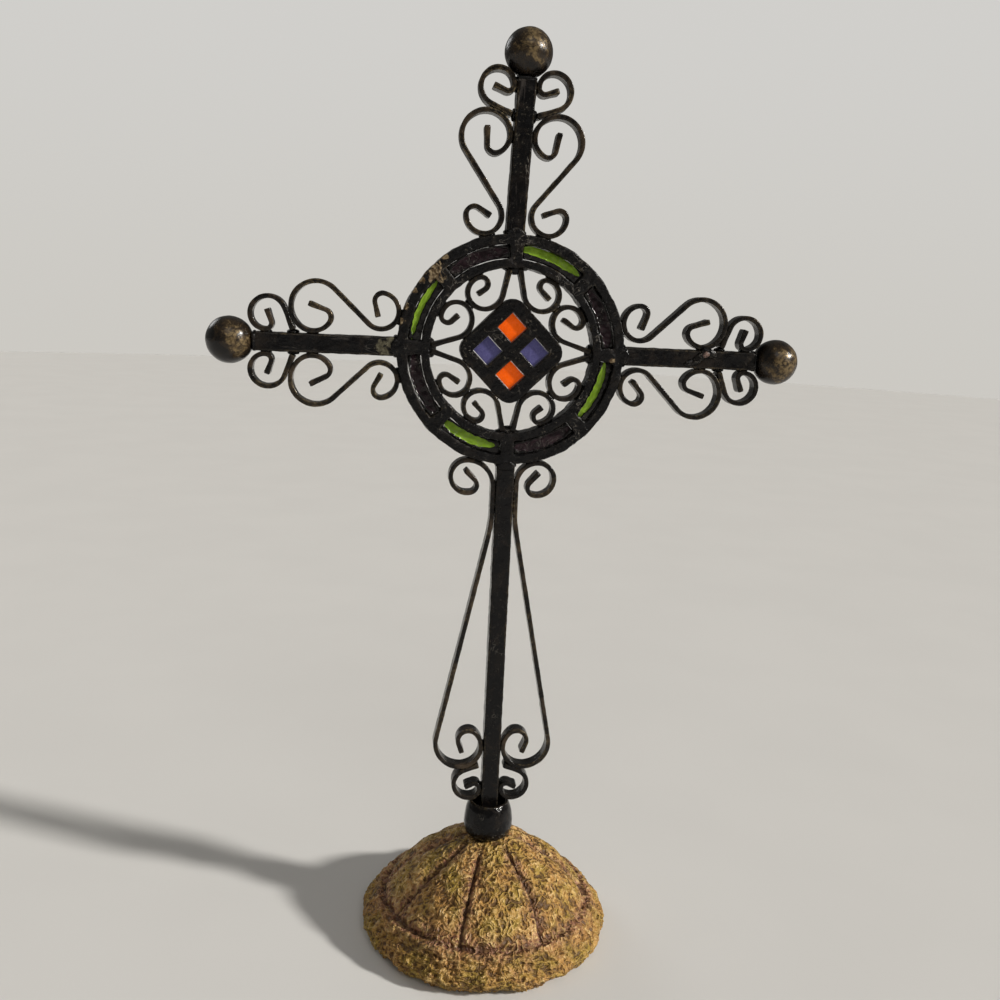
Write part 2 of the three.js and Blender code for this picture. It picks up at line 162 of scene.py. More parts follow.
# %% Make finishes from calls
class Finish:
    def __init__(self, name):
        self.material = bpy.data.materials.new(name)
        self.material.use_nodes = True
        self.tree = self.material.node_tree
        self.tree.nodes.clear()
        self.place = self.node("ShaderNodeTexCoord", output="Object")

    def node(self, kind, settings=None, inputs=(), output=0):
        made = self.tree.nodes.new(kind)
        for key, value in (settings or {}).items():
            setattr(made, key, value)
        pairs = inputs.items() if isinstance(inputs, dict) else enumerate(inputs)
        for key, value in pairs:
            if isinstance(value, Wire):
                self.tree.links.new(value.output, made.inputs[key])
            else:
                made.inputs[key].default_value = value
        return Wire(self, made.outputs[output])

    def noise(self, size, detail=3.0, rough=0.55, warp=0.0, stretch=None):
        place = self.place
        if stretch:
            place = self.node("ShaderNodeVectorMath", {"operation": "MULTIPLY"}, (place, stretch))
        inputs = {"Vector": place, "Scale": 1 / (size * MM), "Detail": detail, "Roughness": rough}
        return self.node("ShaderNodeTexNoise", None, inputs | {"Distortion": warp})

    def measured(self, name):
        return self.node("ShaderNodeAttribute", {"attribute_name": name}, output="Fac")

    def blend(self, share, first, second):
        colours = [value if isinstance(value, Wire) else (*value, 1) for value in (first, second)]
        inputs = {0: share, 6: colours[0], 7: colours[1]}
        return self.node("ShaderNodeMix", {"data_type": "RGBA", "clamp_factor": True}, inputs, output=2)

    def bump(self, height, depth):
        inputs = {"Height": height, "Distance": depth * MM, "Strength": 1.0}
        return self.node("ShaderNodeBump", None, inputs)

    def surface(self, **inputs):
        names = {key: key.replace("_", " ").title().replace("Ior", "IOR") for key in inputs}
        sockets = {names[key]: value for key, value in inputs.items()}
        shader = self.node("ShaderNodeBsdfPrincipled", None, sockets)
        end = self.tree.nodes.new("ShaderNodeOutputMaterial")
        self.tree.links.new(shader.output, end.inputs["Surface"])
        return self.material


print("a finish can make any node that Blender has")

# %% [markdown]
# ## Black paint over iron
#
# The cross was painted black by hand, with a glossy paint laid on thickly over black iron. Handling has
# polished some stretches of the sharp edges down to a brown bronze. A brown film has stayed in places, pale
# scratches and specks lie on the flats, and on some bars the brush left streaks. Where the paint fell off,
# the iron shows ochre or olive.
#
# The finish is built in that order, each layer blended over the one before. The shader needs to know where an
# edge is, and the mesh tells it: each piece carries a number named `edge`, from 0 on a flat to 1 on a sharp
# corner, and noise decides how much of each edge was really rubbed. A number named `bare` marks the places
# without paint. Noise stretched along a bar turns dots into streaks. Black paint mirrors little, so its
# specular level is low.

# %% Mix the black paint
def black_paint(name, rub, gloss, scratch, depth, brown=0.0, stroke=None, bare=None):
    paint = Finish(name)
    handled = paint.noise(17, detail=2).between(0.46, 0.66)
    chips = paint.noise(1.6, detail=5, rough=0.65).between(0.42, 0.62)
    rubbed = paint.measured("edge") * (handled * 0.85 + 0.15) * (chips * 0.6 + 0.4) * rub
    film = paint.noise(6, detail=6, rough=0.7, warp=0.5).between(0.5, 0.72)
    black = paint.blend(film, (0.0032, 0.0030, 0.0033), (0.013, 0.010, 0.008))
    stain = paint.noise(11, detail=5, rough=0.65, warp=0.3).between(0.47, 0.68)
    black = paint.blend(stain * brown, black, (0.10, 0.070, 0.045))
    bronze = paint.blend(chips, (0.04, 0.030, 0.017), (0.15, 0.115, 0.065))
    colour = paint.blend(rubbed, black, bronze)
    if stroke:
        brushed = paint.noise(2.6, detail=4, rough=0.6, warp=0.3, stretch=stroke).between(0.52, 0.7)
        brushed = brushed * paint.noise(13, detail=2).between(0.47, 0.66)
        colour = paint.blend(brushed * 0.8, colour, (0.085, 0.073, 0.066))
    lines = paint.noise(5, detail=3, rough=0.6, warp=0.5, stretch=stroke).crest(0.011)
    lines = lines * paint.noise(9, detail=3).between(0.52, 0.64)
    colour = paint.blend(lines * scratch, colour, (0.16, 0.145, 0.125))
    specks = paint.noise(1.5, detail=4, rough=0.7).between(0.6, 0.68)
    specks = specks * paint.noise(7, detail=3).between(0.46, 0.6)
    colour = paint.blend(specks * scratch * 0.7, colour, (0.12, 0.105, 0.08))
    if bare:
        flakes = paint.noise(3.4, detail=6, rough=0.72, warp=0.6)
        share = paint.measured("bare") * 0.75 + (flakes - 0.5) * 2.2
        share = share.between(0.36, 0.5) * paint.measured("bare").between(0.04, 0.2)
        colour = paint.blend(share * 0.9, colour, paint.blend(chips, *bare))
    roughness = paint.noise(3, detail=5, rough=0.6).between(0.35, 0.65) * 0.2 + rubbed * 0.12 + gloss
    strokes = paint.noise(1.3, detail=4, rough=0.6) * 0.4 + paint.noise(4.5, detail=3, warp=0.5) * 0.6
    return paint.surface(
        base_color=colour,
        roughness=roughness,
        metallic=rubbed * 0.4,
        normal=paint.bump(strokes, depth),
        specular_ior_level=0.2,
    )


print("black paint can be mixed")


# %% Mix one paint for each kind of iron
ochre_iron = ((0.075, 0.046, 0.022), (0.31, 0.235, 0.14))
olive_iron = ((0.05, 0.045, 0.029), (0.13, 0.118, 0.078))
upright_way, level_way = (1, 1, 0.12), (0.12, 1, 1)
paint_values = {
    "strap": dict(rub=0.9, gloss=0.09, scratch=0.2, depth=0.22, brown=0.45),
    "dark_strap": dict(rub=0.5, gloss=0.12, scratch=0.2, depth=0.22, brown=0.12),
    "level_bar": dict(rub=0.5, gloss=0.12, scratch=0.3, depth=0.4, brown=0.1, stroke=level_way),
    "top_bar": dict(rub=0.5, gloss=0.08, scratch=0.8, depth=0.4, brown=0.04, stroke=upright_way),
    "lower_bar": dict(rub=0.4, gloss=0.08, scratch=0.4, depth=0.4, brown=0.04),
    "casting": dict(rub=0.35, gloss=0.14, scratch=0.9, depth=0.45),
    "ring": dict(rub=0.35, gloss=0.17, scratch=1.0, depth=0.8, bare=ochre_iron),
    "collar": dict(rub=0.6, gloss=0.03, scratch=0.7, depth=0.3),
}
for kind in ("level_bar", "top_bar"):
    paint_values[kind]["bare"] = olive_iron
paints = {kind: black_paint(f"black_paint_on_{kind}", **values) for kind, values in paint_values.items()}
print("black paints:", *paints)

# %% [markdown]
# ## Unevenness that is the same every time
#
# Nothing on hand-made iron is quite straight. A smooth random field moves the points of a mesh by a tenth
# of a millimetre here and there. It has to come out the same on every run, so the directions at the corners
# of its grid are picked by a fixed sum from the corner's own numbers, and never by a new throw of dice.

# %% A smooth random field
compass = np.random.default_rng(11).normal(size=(256, 3))
compass /= np.linalg.norm(compass, axis=1)[:, None]


def pick(cell, seed):
    mixed = cell[:, 0] * 73856093 ^ cell[:, 1] * 19349663 ^ cell[:, 2] * 83492791 ^ seed * 374761393
    mixed = (mixed ^ (mixed >> 13)) * 1274126177
    return (mixed ^ (mixed >> 16)) & 255


def field(points, size, seed=0):
    place = np.asarray(points) / (size * MM)
    corner = np.floor(place).astype(np.int64)
    inside = place - corner
    ease = inside**3 * (inside * (inside * 6 - 15) + 10)
    total = np.zeros(len(place))
    for step in itertools.product((0, 1), repeat=3):
        slope = compass[pick(corner + step, seed)]
        share = np.prod(np.where(np.array(step) == 1, ease, 1 - ease), axis=1)
        total += share * ((inside - step) * slope).sum(axis=1)
    return total * 1.5


sample = field(np.random.default_rng(1).uniform(0, 0.1, (4000, 3)), 5)
print("field from", round(sample.min(), 2), "to", round(sample.max(), 2))

# %% [markdown]
# ## From points to a piece
#
# Every mesh below is a sheet of four-sided faces that closes on itself: rows run along the piece and columns
# run round it. One function makes such a sheet into an object, lets it ride with the cross, and hides the
# plain solid that it stands for.

# %% Make a piece and keep numbers on its points
def keep(mesh, name, values):
    mesh.attributes.new(name, "FLOAT", "POINT").data.foreach_set("value", np.asarray(values, np.float32))


def add_piece(name, mesh, paint, node=None):
    mesh.shade_smooth()
    mesh.materials.clear()
    mesh.materials.append(paint)
    piece = bpy.data.objects.new(name, mesh)
    bpy.context.scene.collection.objects.link(piece)
    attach(piece, "root")
    if node:
        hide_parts(node)
    return piece


def tube_mesh(name, rows):
    """rows has the shape (rows, columns, 3). Both ends are closed with one flat face."""
    count, columns, _ = rows.shape
    index = np.arange(count * columns).reshape(count, columns)
    here, beside = index[:-1], np.roll(index, -1, axis=1)[:-1]
    above, across = index[1:], np.roll(index, -1, axis=1)[1:]
    faces = np.stack([here, beside, across, above], axis=-1).reshape(-1, 4).tolist()
    faces += [index[0][::-1].tolist(), index[-1].tolist()]
    mesh = bpy.data.meshes.new(name)
    mesh.from_pydata(rows.reshape(-1, 3).tolist(), [], faces)
    return mesh


# %% [markdown]
# ## The line of a scroll
#
# A scroll's solid is a flat strap whose bends are cut into facets. Its front face is a closed outline: along
# one side of the strap, across a square end, and back along the other side. The two ends are the only short
# edges with a right angle on both sides, so they can be found, and half-way between the two sides lies the
# middle of the strap.

# %% Read the middle line of a strap from its solid
STRAP_THICK, STRAP_DEEP = 1.8, 6.6


def front_outline(node):
    mesh = nodes[node].data
    points = np.array([vertex.co for vertex in mesh.vertices])
    front = points[:, 1] < points[:, 1].min() + 0.01 * MM
    flat = np.round(points[:, [0, 2]] / MM, 3)
    follow = {}
    for face in mesh.polygons:
        if all(front[i] for i in face.vertices):
            corners = [tuple(flat[i]) for i in face.vertices]
            for a, b in zip(corners, corners[1:] + corners[:1]):
                if (b, a) in follow:
                    del follow[(b, a)]
                else:
                    follow[(a, b)] = True
    onward = dict(follow.keys())
    outline = [next(iter(onward))]
    while len(outline) < len(onward):
        outline.append(onward[outline[-1]])
    return np.array(outline) * MM


def middle_line(node):
    outline = front_outline(node)
    step = np.roll(outline, -1, axis=0) - outline
    length = np.linalg.norm(step, axis=1)
    unit = step / length[:, None]
    bend = np.abs((unit * np.roll(unit, 1, axis=0)).sum(axis=1))
    square = (bend < 0.05) & (np.roll(bend, -1) < 0.05)
    ends = np.flatnonzero(square & (np.abs(length / MM - STRAP_THICK) < 0.05))
    assert len(ends) == 2, (node, len(ends))
    outline = np.roll(outline, -(ends[0] + 1), axis=0)
    half = len(outline) // 2
    return (outline[:half] + outline[half:][::-1]) / 2


scroll_nodes = sorted(name for name in nodes if "scroll" in name)
raw_lines = {name: middle_line(name) for name in scroll_nodes}
print(len(raw_lines), "scrolls of", sorted({len(line) for line in raw_lines.values()}), "points")

# %% [markdown]
# ## Round bends again
#
# The points of a middle line lie on true arcs. Where two runs of a line meet, it turns by half of each run's
# own bend. A hook starts straight, so its bend is nought, and from there every next bend follows from the
# turn at each point. That gives back the smith's arcs exactly, and points can be laid on them as close
# together as the eye needs.

# %% Lay close points on the true arcs
def rounded(line, spacing):
    chord = np.diff(line, axis=0)
    heading = np.unwrap(np.arctan2(chord[:, 1], chord[:, 0]))
    half_bend = [0.0]
    for turn in np.diff(heading):
        half_bend.append(turn - half_bend[-1])
    points = []
    for start, run, way, half in zip(line, chord, heading, half_bend):
        length = np.hypot(*run)
        share = np.linspace(0, 1, max(2, math.ceil(length / (spacing * MM)) + 1))[:-1, None]
        if abs(half) < 0.002:
            points.append(start + run * share)
            continue
        radius = length / (2 * math.sin(half))
        first = way - half
        swept = first + 2 * half * share
        sideways = np.hstack([np.sin(swept) - math.sin(first), math.cos(first) - np.cos(swept)])
        points.append(start + radius * sideways)
    return np.vstack([*points, line[-1:]])


lines = {name: rounded(line, 0.7) for name, line in raw_lines.items()}
lengths = {name: np.linalg.norm(np.diff(line, axis=0), axis=1).sum() / MM for name, line in lines.items()}
print("strap in all", round(sum(lengths.values())), "mm, longest", round(max(lengths.values())), "mm")

# %% [markdown]
# ## Forging along a line
#
# Bar and strap are both a section carried along a line. The section is a rectangle with eased corners, so
# the light catches a thin bright line along each edge, as it does on real bar. Hammering makes the section a
# little thicker here and thinner there and leaves the faces slightly hollow. The same function draws the
# strap of the scrolls and the square bars of the arms.

# %% Draw the section of a bar
def section(half_wide, half_deep, corner, between):
    """Rows of across, deep, the way the surface faces there, and 1 on an edge or 0 on a flat."""
    edges = []
    for turn, (x, y) in zip((0, 90, 180, 270), ((1, 1), (-1, 1), (-1, -1), (1, -1))):
        middle = np.array((x * (half_wide - corner), y * (half_deep - corner)))
        for angle in np.radians((turn, turn + 45, turn + 90)):
            out = np.array((math.cos(angle), math.sin(angle)))
            edges.append((*(middle + corner * out), *out, 1.0))
    rows = []
    for i, edge in enumerate(edges):
        rows.append(edge)
        if i % 3 == 2:
            following = np.array(edges[(i + 1) % 12])
            count = between[(i // 3) % 2]
            for share in (1 - np.cos(np.pi * np.arange(1, count + 1) / (count + 1))) / 2:
                point = edge[:2] + (following[:2] - edge[:2]) * share
                rows.append((*point, *edge[2:4], 0.0))
    return np.array(rows) * (MM, MM, 1, 1, 1)


PAINT_THICK = 0.13
strap_section = section(STRAP_THICK / 2 + PAINT_THICK, STRAP_DEEP / 2, 0.35, (1, 5))
bar_section = section(4, 4, 0.7, (7, 7))
print("points round a strap:", len(strap_section), "and round a bar:", len(bar_section))


# %% Carry a section along a line
def forged_mesh(name, line, shape, hammer, lump, seed, flare=0.0):
    step = np.gradient(line, axis=0)
    step /= np.linalg.norm(step, axis=1)[:, None]
    along = np.concatenate([[0], np.cumsum(np.linalg.norm(np.diff(line, axis=0), axis=1))])
    to_end = np.minimum(along, along[-1] - along) / MM
    blunt = 1 - np.clip(to_end / 0.5, 0, 1)
    ends = (1 - 0.16 * blunt**2) * (1 + flare * np.exp(-((to_end / 3.5) ** 2)))
    spine = np.stack([line[:, 0], np.zeros(len(line)), line[:, 1]], axis=1)
    thick = ends * (1 + hammer * field(spine, 5, seed))
    deep = 1 + hammer / 3 * field(spine, 9, seed + 1) - 0.03 * blunt
    across = np.stack([-step[:, 1], np.zeros(len(line)), step[:, 0]], axis=1)
    depth = np.array([0, 1, 0])
    u, v, out_u, out_v, sharp = shape.T
    rows = spine[:, None] + across[:, None] * (thick[:, None] * u)[..., None]
    rows = rows + depth * (deep[:, None] * v)[..., None]
    out = across[:, None] * out_u[:, None] + depth * out_v[:, None]
    flat = rows.reshape(-1, 3)
    bumps = lump * field(flat, 4, seed + 2) + lump / 2 * field(flat, 1.6, seed + 3)
    rows = rows + out * bumps.reshape(rows.shape[:2])[..., None] * MM
    mesh = tube_mesh(name, rows)
    end_wear = np.clip(1.4 - to_end / 0.7, 0, 0.8)[:, None]
    keep(mesh, "edge", np.maximum(sharp[None], end_wear).ravel())
    return mesh


DARK_STRAPS = ("ring_scroll", "right_", "lower_collar_scroll")
for seed, (name, line) in enumerate(lines.items()):
    mesh = forged_mesh(f"{name}_strap", line, strap_section, 0.08, 0.08, seed * 7, flare=0.2)
    kind = "dark_strap" if name.startswith(DARK_STRAPS) else "strap"
    add_piece(f"{name}_strap", mesh, paints[kind], name)
print("forged", len(lines), "scrolls")

# %% [markdown]
# ## The square bars
#
# Four lengths of square bar make the cross. The solid gives eight corners. Its longest direction is the
# bar's own axis, which matters for the top bar, because it was welded on a little askew. A hammered bar is
# never quite flat, so it gets broader and deeper marks than the thin strap. Near the ring the left bar has
# lost its paint, and three round places seen from the front mark where.

# %% Forge the bars
def bar_line(node):
    points = np.array([vertex.co for vertex in nodes[node].data.vertices])
    middle = points.mean(axis=0)
    axis = np.linalg.svd(points - middle)[2][0]
    reach = (points - middle) @ axis
    ends = middle + axis * reach.min(), middle + axis * reach.max()
    start, end = ends[0][[0, 2]], ends[1][[0, 2]]
    count = int(np.linalg.norm(end - start) / (0.9 * MM))
    return start + (end - start) * np.linspace(0, 1, count)[:, None]


bars = {name: bar_line(name) for name in ("right_bar", "left_bar", "top_bar", "lower_bar")}
bare_on_bars = {"left_bar": [(-51.5, 278.3, 4.0), (-56.5, 277.5, 3.4), (-54.5, 274.5, 3.0)]}
bar_kinds = {"right_bar": "level_bar", "left_bar": "level_bar"}
for seed, (name, line) in enumerate(bars.items()):
    mesh = forged_mesh(f"{name}_iron", line, bar_section, 0.015, 0.17, 300 + seed * 7)
    places = np.array([vertex.co for vertex in mesh.vertices])[:, [0, 2]]
    bare = np.zeros(len(places))
    for x, z, size in bare_on_bars.get(name, []):
        bare = np.maximum(bare, np.exp(-((np.linalg.norm(places / MM - (x, z), axis=1) / size) ** 2)))
    keep(mesh, "bare", bare)
    add_piece(f"{name}_iron", mesh, paints[bar_kinds.get(name, name)], name)
    print(name, round(np.linalg.norm(line[-1] - line[0]) / MM, 1), "mm")

# %% [markdown]
# ## The balls
#
# Each arm ends in a forged ball, its black paint rubbed to a brown bronze. The bronze is centred on the side
# that faces the front, partly real wear and partly painted sheen, and a halo of brown between black and
# bronze makes the ball darker towards its edges as painted shade. Thin dark cracks run over all of it. The
# mesh carries a number named `rub`, how far a point faces that side, and noise frays its border. An icosphere
# has faces of one size all over, with no poles, so the field can dent it evenly.

# %% Paint the balls
def ball_finish():
    paint = Finish("rubbed_ball_with_painted_sheen")
    cloud = paint.noise(7, detail=6, rough=0.6, warp=0.4)
    grain = paint.noise(1.6, detail=6, rough=0.7)
    breaks = paint.noise(6.5, detail=3.5, rough=0.62, warp=0.5)
    # Real rubbed bronze and painted sheen, centred on the side that faces the front.
    rub_and_sheen = paint.measured("rub") + (cloud - 0.5) * 2.2 + (grain - 0.5) * 0.7
    # The halo makes the ball darker towards its edges: painted shade.
    painted_shade_halo = rub_and_sheen.between(0.25, 0.95)
    rubbed = rub_and_sheen.between(0.74, 1.02)
    dark = paint.blend(painted_shade_halo, (0.0045, 0.0036, 0.0032), (0.034, 0.022, 0.011))
    bronze = paint.blend(grain.between(0.4, 0.62), (0.07, 0.046, 0.021), (0.19, 0.135, 0.065))
    colour = paint.blend(rubbed, dark, bronze)
    colour = paint.blend(breaks.crest(0.032) * 0.95, colour, (0.010, 0.007, 0.005))
    roughness = 0.26 + rubbed * 0.12
    height = grain * 0.35 + breaks * 0.65
    return paint.surface(
        base_color=colour,
        roughness=roughness,
        metallic=rubbed * 0.35,
        normal=paint.bump(height, 0.25),
        coat_weight=0.12,
        coat_roughness=0.08,
        specular_ior_level=0.28,
    )


ball_paint = ball_finish()
print("finish:", ball_paint.name)


# %% Forge the balls
def ball_mesh(name, centre, radius, rub_and_sheen_side, rub_and_sheen_share, seed):
    form = bmesh.new()
    bmesh.ops.create_icosphere(form, subdivisions=5, radius=radius)
    mesh = bpy.data.meshes.new(name)
    form.to_mesh(mesh)
    form.free()
    points = np.array([vertex.co for vertex in mesh.vertices])
    out = points / np.linalg.norm(points, axis=1)[:, None]
    dent = 0.11 * field(points, 6, seed) + 0.06 * field(points, 2.2, seed + 1)
    points = points + out * dent[:, None] * MM + np.array(centre)
    mesh.vertices.foreach_set("co", points.ravel())
    # rub: rubbed bronze and painted sheen, centred on the side that faces the front.
    rub = out @ (np.array(rub_and_sheen_side) / np.linalg.norm(rub_and_sheen_side))
    keep(mesh, "rub", np.clip(rub, 0, 1) * rub_and_sheen_share)
    return mesh


rub_and_sheen_sides = {
    "right_ball": ((0.25, -1, 0.0), 1.0),
    "left_ball": ((0.38, -1, 0.1), 0.86),
    "top_ball": ((-0.02, -1, 0.2), 1.0),
}
for seed, (name, (rub_and_sheen_side, rub_and_sheen_share)) in enumerate(rub_and_sheen_sides.items()):
    low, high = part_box(name)
    mesh = ball_mesh(f"{name}_iron", (low + high) / 2, 10 * MM, rub_and_sheen_side, rub_and_sheen_share, 400 + seed * 5)
    add_piece(f"{name}_iron", mesh, ball_paint, name)
print("each ball has", len(mesh.polygons), "faces")

# %% [markdown]
# ## The cast ring and the diamond
#
# The ring and the diamond were cast, so their edges are soft and their faces a little wavy. A voxel remesh
# turns a solid with sharp facets into an even skin of small faces, and smoothing rounds every edge by the
# same amount, inside the slots too. After that the skin can be pushed in and out by the random field.

# %% Turn a faceted solid into a soft casting
def cast_mesh(name, node, voxel, soften):
    copy = bpy.data.objects.new(name, nodes[node].data.copy())
    bpy.context.scene.collection.objects.link(copy)
    weld = copy.modifiers.new("weld", "WELD")
    weld.merge_threshold = 0.01 * MM
    skin = copy.modifiers.new("skin", "REMESH")
    skin.mode = "VOXEL"
    skin.voxel_size = voxel * MM
    smooth = copy.modifiers.new("smooth", "SMOOTH")
    smooth.factor = 0.5
    smooth.iterations = soften
    mesh = bpy.data.meshes.new_from_object(copy.evaluated_get(bpy.context.evaluated_depsgraph_get()))
    old = copy.data
    bpy.data.objects.remove(copy)
    bpy.data.meshes.remove(old)
    return mesh


def coordinates(mesh):
    points = np.empty(len(mesh.vertices) * 3)
    mesh.vertices.foreach_get("co", points)
    normals = np.empty(len(mesh.vertices) * 3)
    mesh.vertex_normals.foreach_get("vector", normals)
    return points.reshape(-1, 3), normals.reshape(-1, 3)


ring_centre = np.array(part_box("ring")[0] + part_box("ring")[1]) / 2
ring_mesh = cast_mesh("ring_iron", "ring", 0.45, 6)
print("ring casting:", len(ring_mesh.polygons), "faces round", ring_centre.round(4))


# %% Dent the ring and mark its worn lips
RING_REACH, BORE_REACH = 49.7, 35.6
SLOT_MIDDLE, HALF_SLOT, HALF_SLOT_SPAN, SLOT_TURN = 42.3, 3.1, 18.5, 45


def from_ring_centre(points):
    return (points[:, 0] - ring_centre[0]) / MM, (points[:, 2] - ring_centre[2]) / MM


def ring_edges(points):
    """Distance in millimetres to the nearest edge and to the nearest slot, seen from the front."""
    x, z = from_ring_centre(points)
    reach = np.hypot(x, z)
    turn = np.degrees(np.arctan2(z, x)) % SLOT_TURN - SLOT_TURN / 2
    past_end = np.radians(np.abs(turn) - HALF_SLOT_SPAN) * reach
    to_slot = np.abs(np.maximum(np.abs(reach - SLOT_MIDDLE) - HALF_SLOT, past_end))
    return np.minimum(np.minimum(RING_REACH - reach, reach - BORE_REACH), to_slot), to_slot


points, normals = coordinates(ring_mesh)
to_edge, to_slot = ring_edges(points)
on_face = np.abs(points[:, 1]) > 3.6 * MM
lip = np.exp(-((to_slot - 0.5) / 0.45) ** 2) * on_face
dents = 0.45 * field(points, 8, 500) + 0.26 * field(points, 3, 501)
dents = dents + 0.06 * field(points, 1.2, 502) + 0.03 * lip
ring_mesh.vertices.foreach_set("co", (points + normals * dents[:, None] * MM).ravel())
worn_lip = np.clip(0.35 + 1.2 * field(points, 7, 503), 0.05, 1)
keep(ring_mesh, "edge", np.exp(-((to_edge / 0.6) ** 2)) * on_face * worn_lip)
print("lip on", round(float((lip > 0.5).mean()) * 100), "% of the ring's points")


# %% Mark where the ring has lost its paint
# Each place is an angle, a distance from the middle and a size, in degrees and millimetres.
bare_places = [(137, 47.2, 4.6), (144, 49.4, 2.6), (151, 49.8, 2.0), (159, 49.8, 1.9), (167, 49.8, 1.8)]
bare_places += [(357, 44.5, 1.7), (128, 49.2, 2.0)]
x, z = from_ring_centre(points)
bare = np.zeros(len(points))
for turn, reach, size in bare_places:
    gap = np.hypot(x - reach * math.cos(math.radians(turn)), z - reach * math.sin(math.radians(turn)))
    bare = np.maximum(bare, np.exp(-((gap / size) ** 2)))
keep(ring_mesh, "bare", bare * (points[:, 1] < 2 * MM))
add_piece("ring_iron", ring_mesh, paints["ring"], "ring")
print("bare on", round(float((bare > 0.5).mean()) * 100, 1), "% of the ring's points")


# %% Dent the diamond
HALF_DIAMOND, WINDOW_MIDDLE, HALF_WINDOW = 17.8, 7.25, 4.65


def diamond_edges(points):
    """Distance in millimetres to the outline and to the nearest window, seen from the front."""
    x, z = from_ring_centre(points)
    u, v = np.abs(x + z) / math.sqrt(2), np.abs(z - x) / math.sqrt(2)
    past_window = np.maximum(np.abs(u - WINDOW_MIDDLE), np.abs(v - WINDOW_MIDDLE)) - HALF_WINDOW
    return HALF_DIAMOND - np.maximum(u, v), np.abs(past_window)


diamond_mesh = cast_mesh("diamond_iron", "diamond", 0.3, 3)
points, normals = coordinates(diamond_mesh)
to_rim, to_window = diamond_edges(points)
on_face = np.abs(points[:, 1]) > 2.7 * MM
lip = np.exp(-((to_window - 0.4) / 0.35) ** 2) * on_face
dents = 0.1 * field(points, 5, 510) + 0.05 * field(points, 1.6, 511) + 0.04 * lip
diamond_mesh.vertices.foreach_set("co", (points + normals * dents[:, None] * MM).ravel())
keep(diamond_mesh, "edge", np.exp(-(np.minimum(to_rim, to_window) / 0.6) ** 2) * on_face)
add_piece("diamond_iron", diamond_mesh, paints["casting"], "diamond")
print("diamond casting:", len(diamond_mesh.polygons), "faces")

# %% [markdown]
# ## Coloured panes
#
# The panes are thick moulded glass with a dark back, so little light comes through and the colour sits on
# the surface. A faint glow of the glass's own colour is painted light: it stands in for light from behind
# that the glass scatters inside. The glass in the ring swells a little towards the front and fills its slot.
# Outside a crescent the glass is coloured near black and stands a little prouder, so a green pane shows only
# as a crescent. One sheet of faces is carried round the slot, and a number named `paint` tells the shader
# where the glass is coloured near black.
#
# The panes of the diamond are flat and clean. Their solids have the right shape already, so they stay and
# only get the finish.

# %% Finish the panes
def pane_finish(name, deep, bright, fleck_colour, gloss, glow, dark_border=False):
    """The colour of the glass wanders from deep to bright, with small flecks of a third colour."""
    glass = Finish(name)
    cloud = glass.noise(6, detail=3, rough=0.5, warp=0.8)
    fleck = glass.noise(1.1, detail=5, rough=0.65)
    colour = glass.blend((cloud * 0.8 + fleck * 0.2).between(0.36, 0.64), deep, bright)
    colour = glass.blend(fleck.between(0.62, 0.76) * 0.5, colour, fleck_colour)
    roughness = fleck.between(0.4, 0.7) * 0.15 + gloss
    height = cloud * 0.6 + fleck * 0.4
    if dark_border:
        # Where the number paint is high, the glass is coloured near black: outside its crescent.
        cover = (glass.measured("paint") + (fleck - 0.5) * 0.5).between(0.42, 0.58)
        colour = glass.blend(cover, colour, (0.006, 0.0052, 0.005))
        line = glass.noise(4, detail=3, rough=0.6, warp=1.0).crest(0.012)
        line = line * glass.noise(7, detail=2).between(0.5, 0.62)
        colour = glass.blend(line * 0.8, colour, (0.15, 0.14, 0.125))
    return glass.surface(
        base_color=colour,
        roughness=roughness,
        emission_color=colour,
        # Painted glow: the emission stands in for light from behind passing through the glass.
        emission_strength=glow,
        normal=glass.bump(height, 0.25),
        specular_ior_level=0.25,
    )


# Each tint: deep, bright and fleck colour, gloss, a painted glow for light through the glass, and whether its
# border is near black.
tints = {
    "green": ((0.13, 0.225, 0.013), (0.20, 0.33, 0.025), (0.28, 0.40, 0.08), 0.14, 0.05, True),
    "plum": ((0.006, 0.003, 0.004), (0.022, 0.010, 0.014), (0.05, 0.03, 0.03), 0.1, 0.0, True),
    "orange": ((0.68, 0.078, 0.0005), (0.76, 0.096, 0.0006), (0.6, 0.055, 0.0005), 0.22, 0.32),
    "slate": ((0.058, 0.054, 0.145), (0.076, 0.071, 0.185), (0.11, 0.10, 0.22), 0.2, 0.2),
}
glass = {tint: pane_finish(f"{tint}_glass", *values) for tint, values in tints.items()}
for place, tint in {"top": "orange", "lower": "orange", "left": "slate", "right": "slate"}.items():
    node = nodes[f"diamond_pane_{place}"]
    node.data.materials.clear()
    node.data.materials.append(glass[tint])
print(len(glass), "colours of glass")


# %% Mould the panes of the ring
HALF_PANE, HALF_PANE_SPAN = 2.8, 18.2
PANE_ROWS = 96


def around(reach, front, turn):
    """Points in millimetres from their distance to the ring's axis, their depth and their angle."""
    angle = np.radians(turn)
    return np.stack(np.broadcast_arrays(reach * np.cos(angle), front, reach * np.sin(angle)), axis=-1)


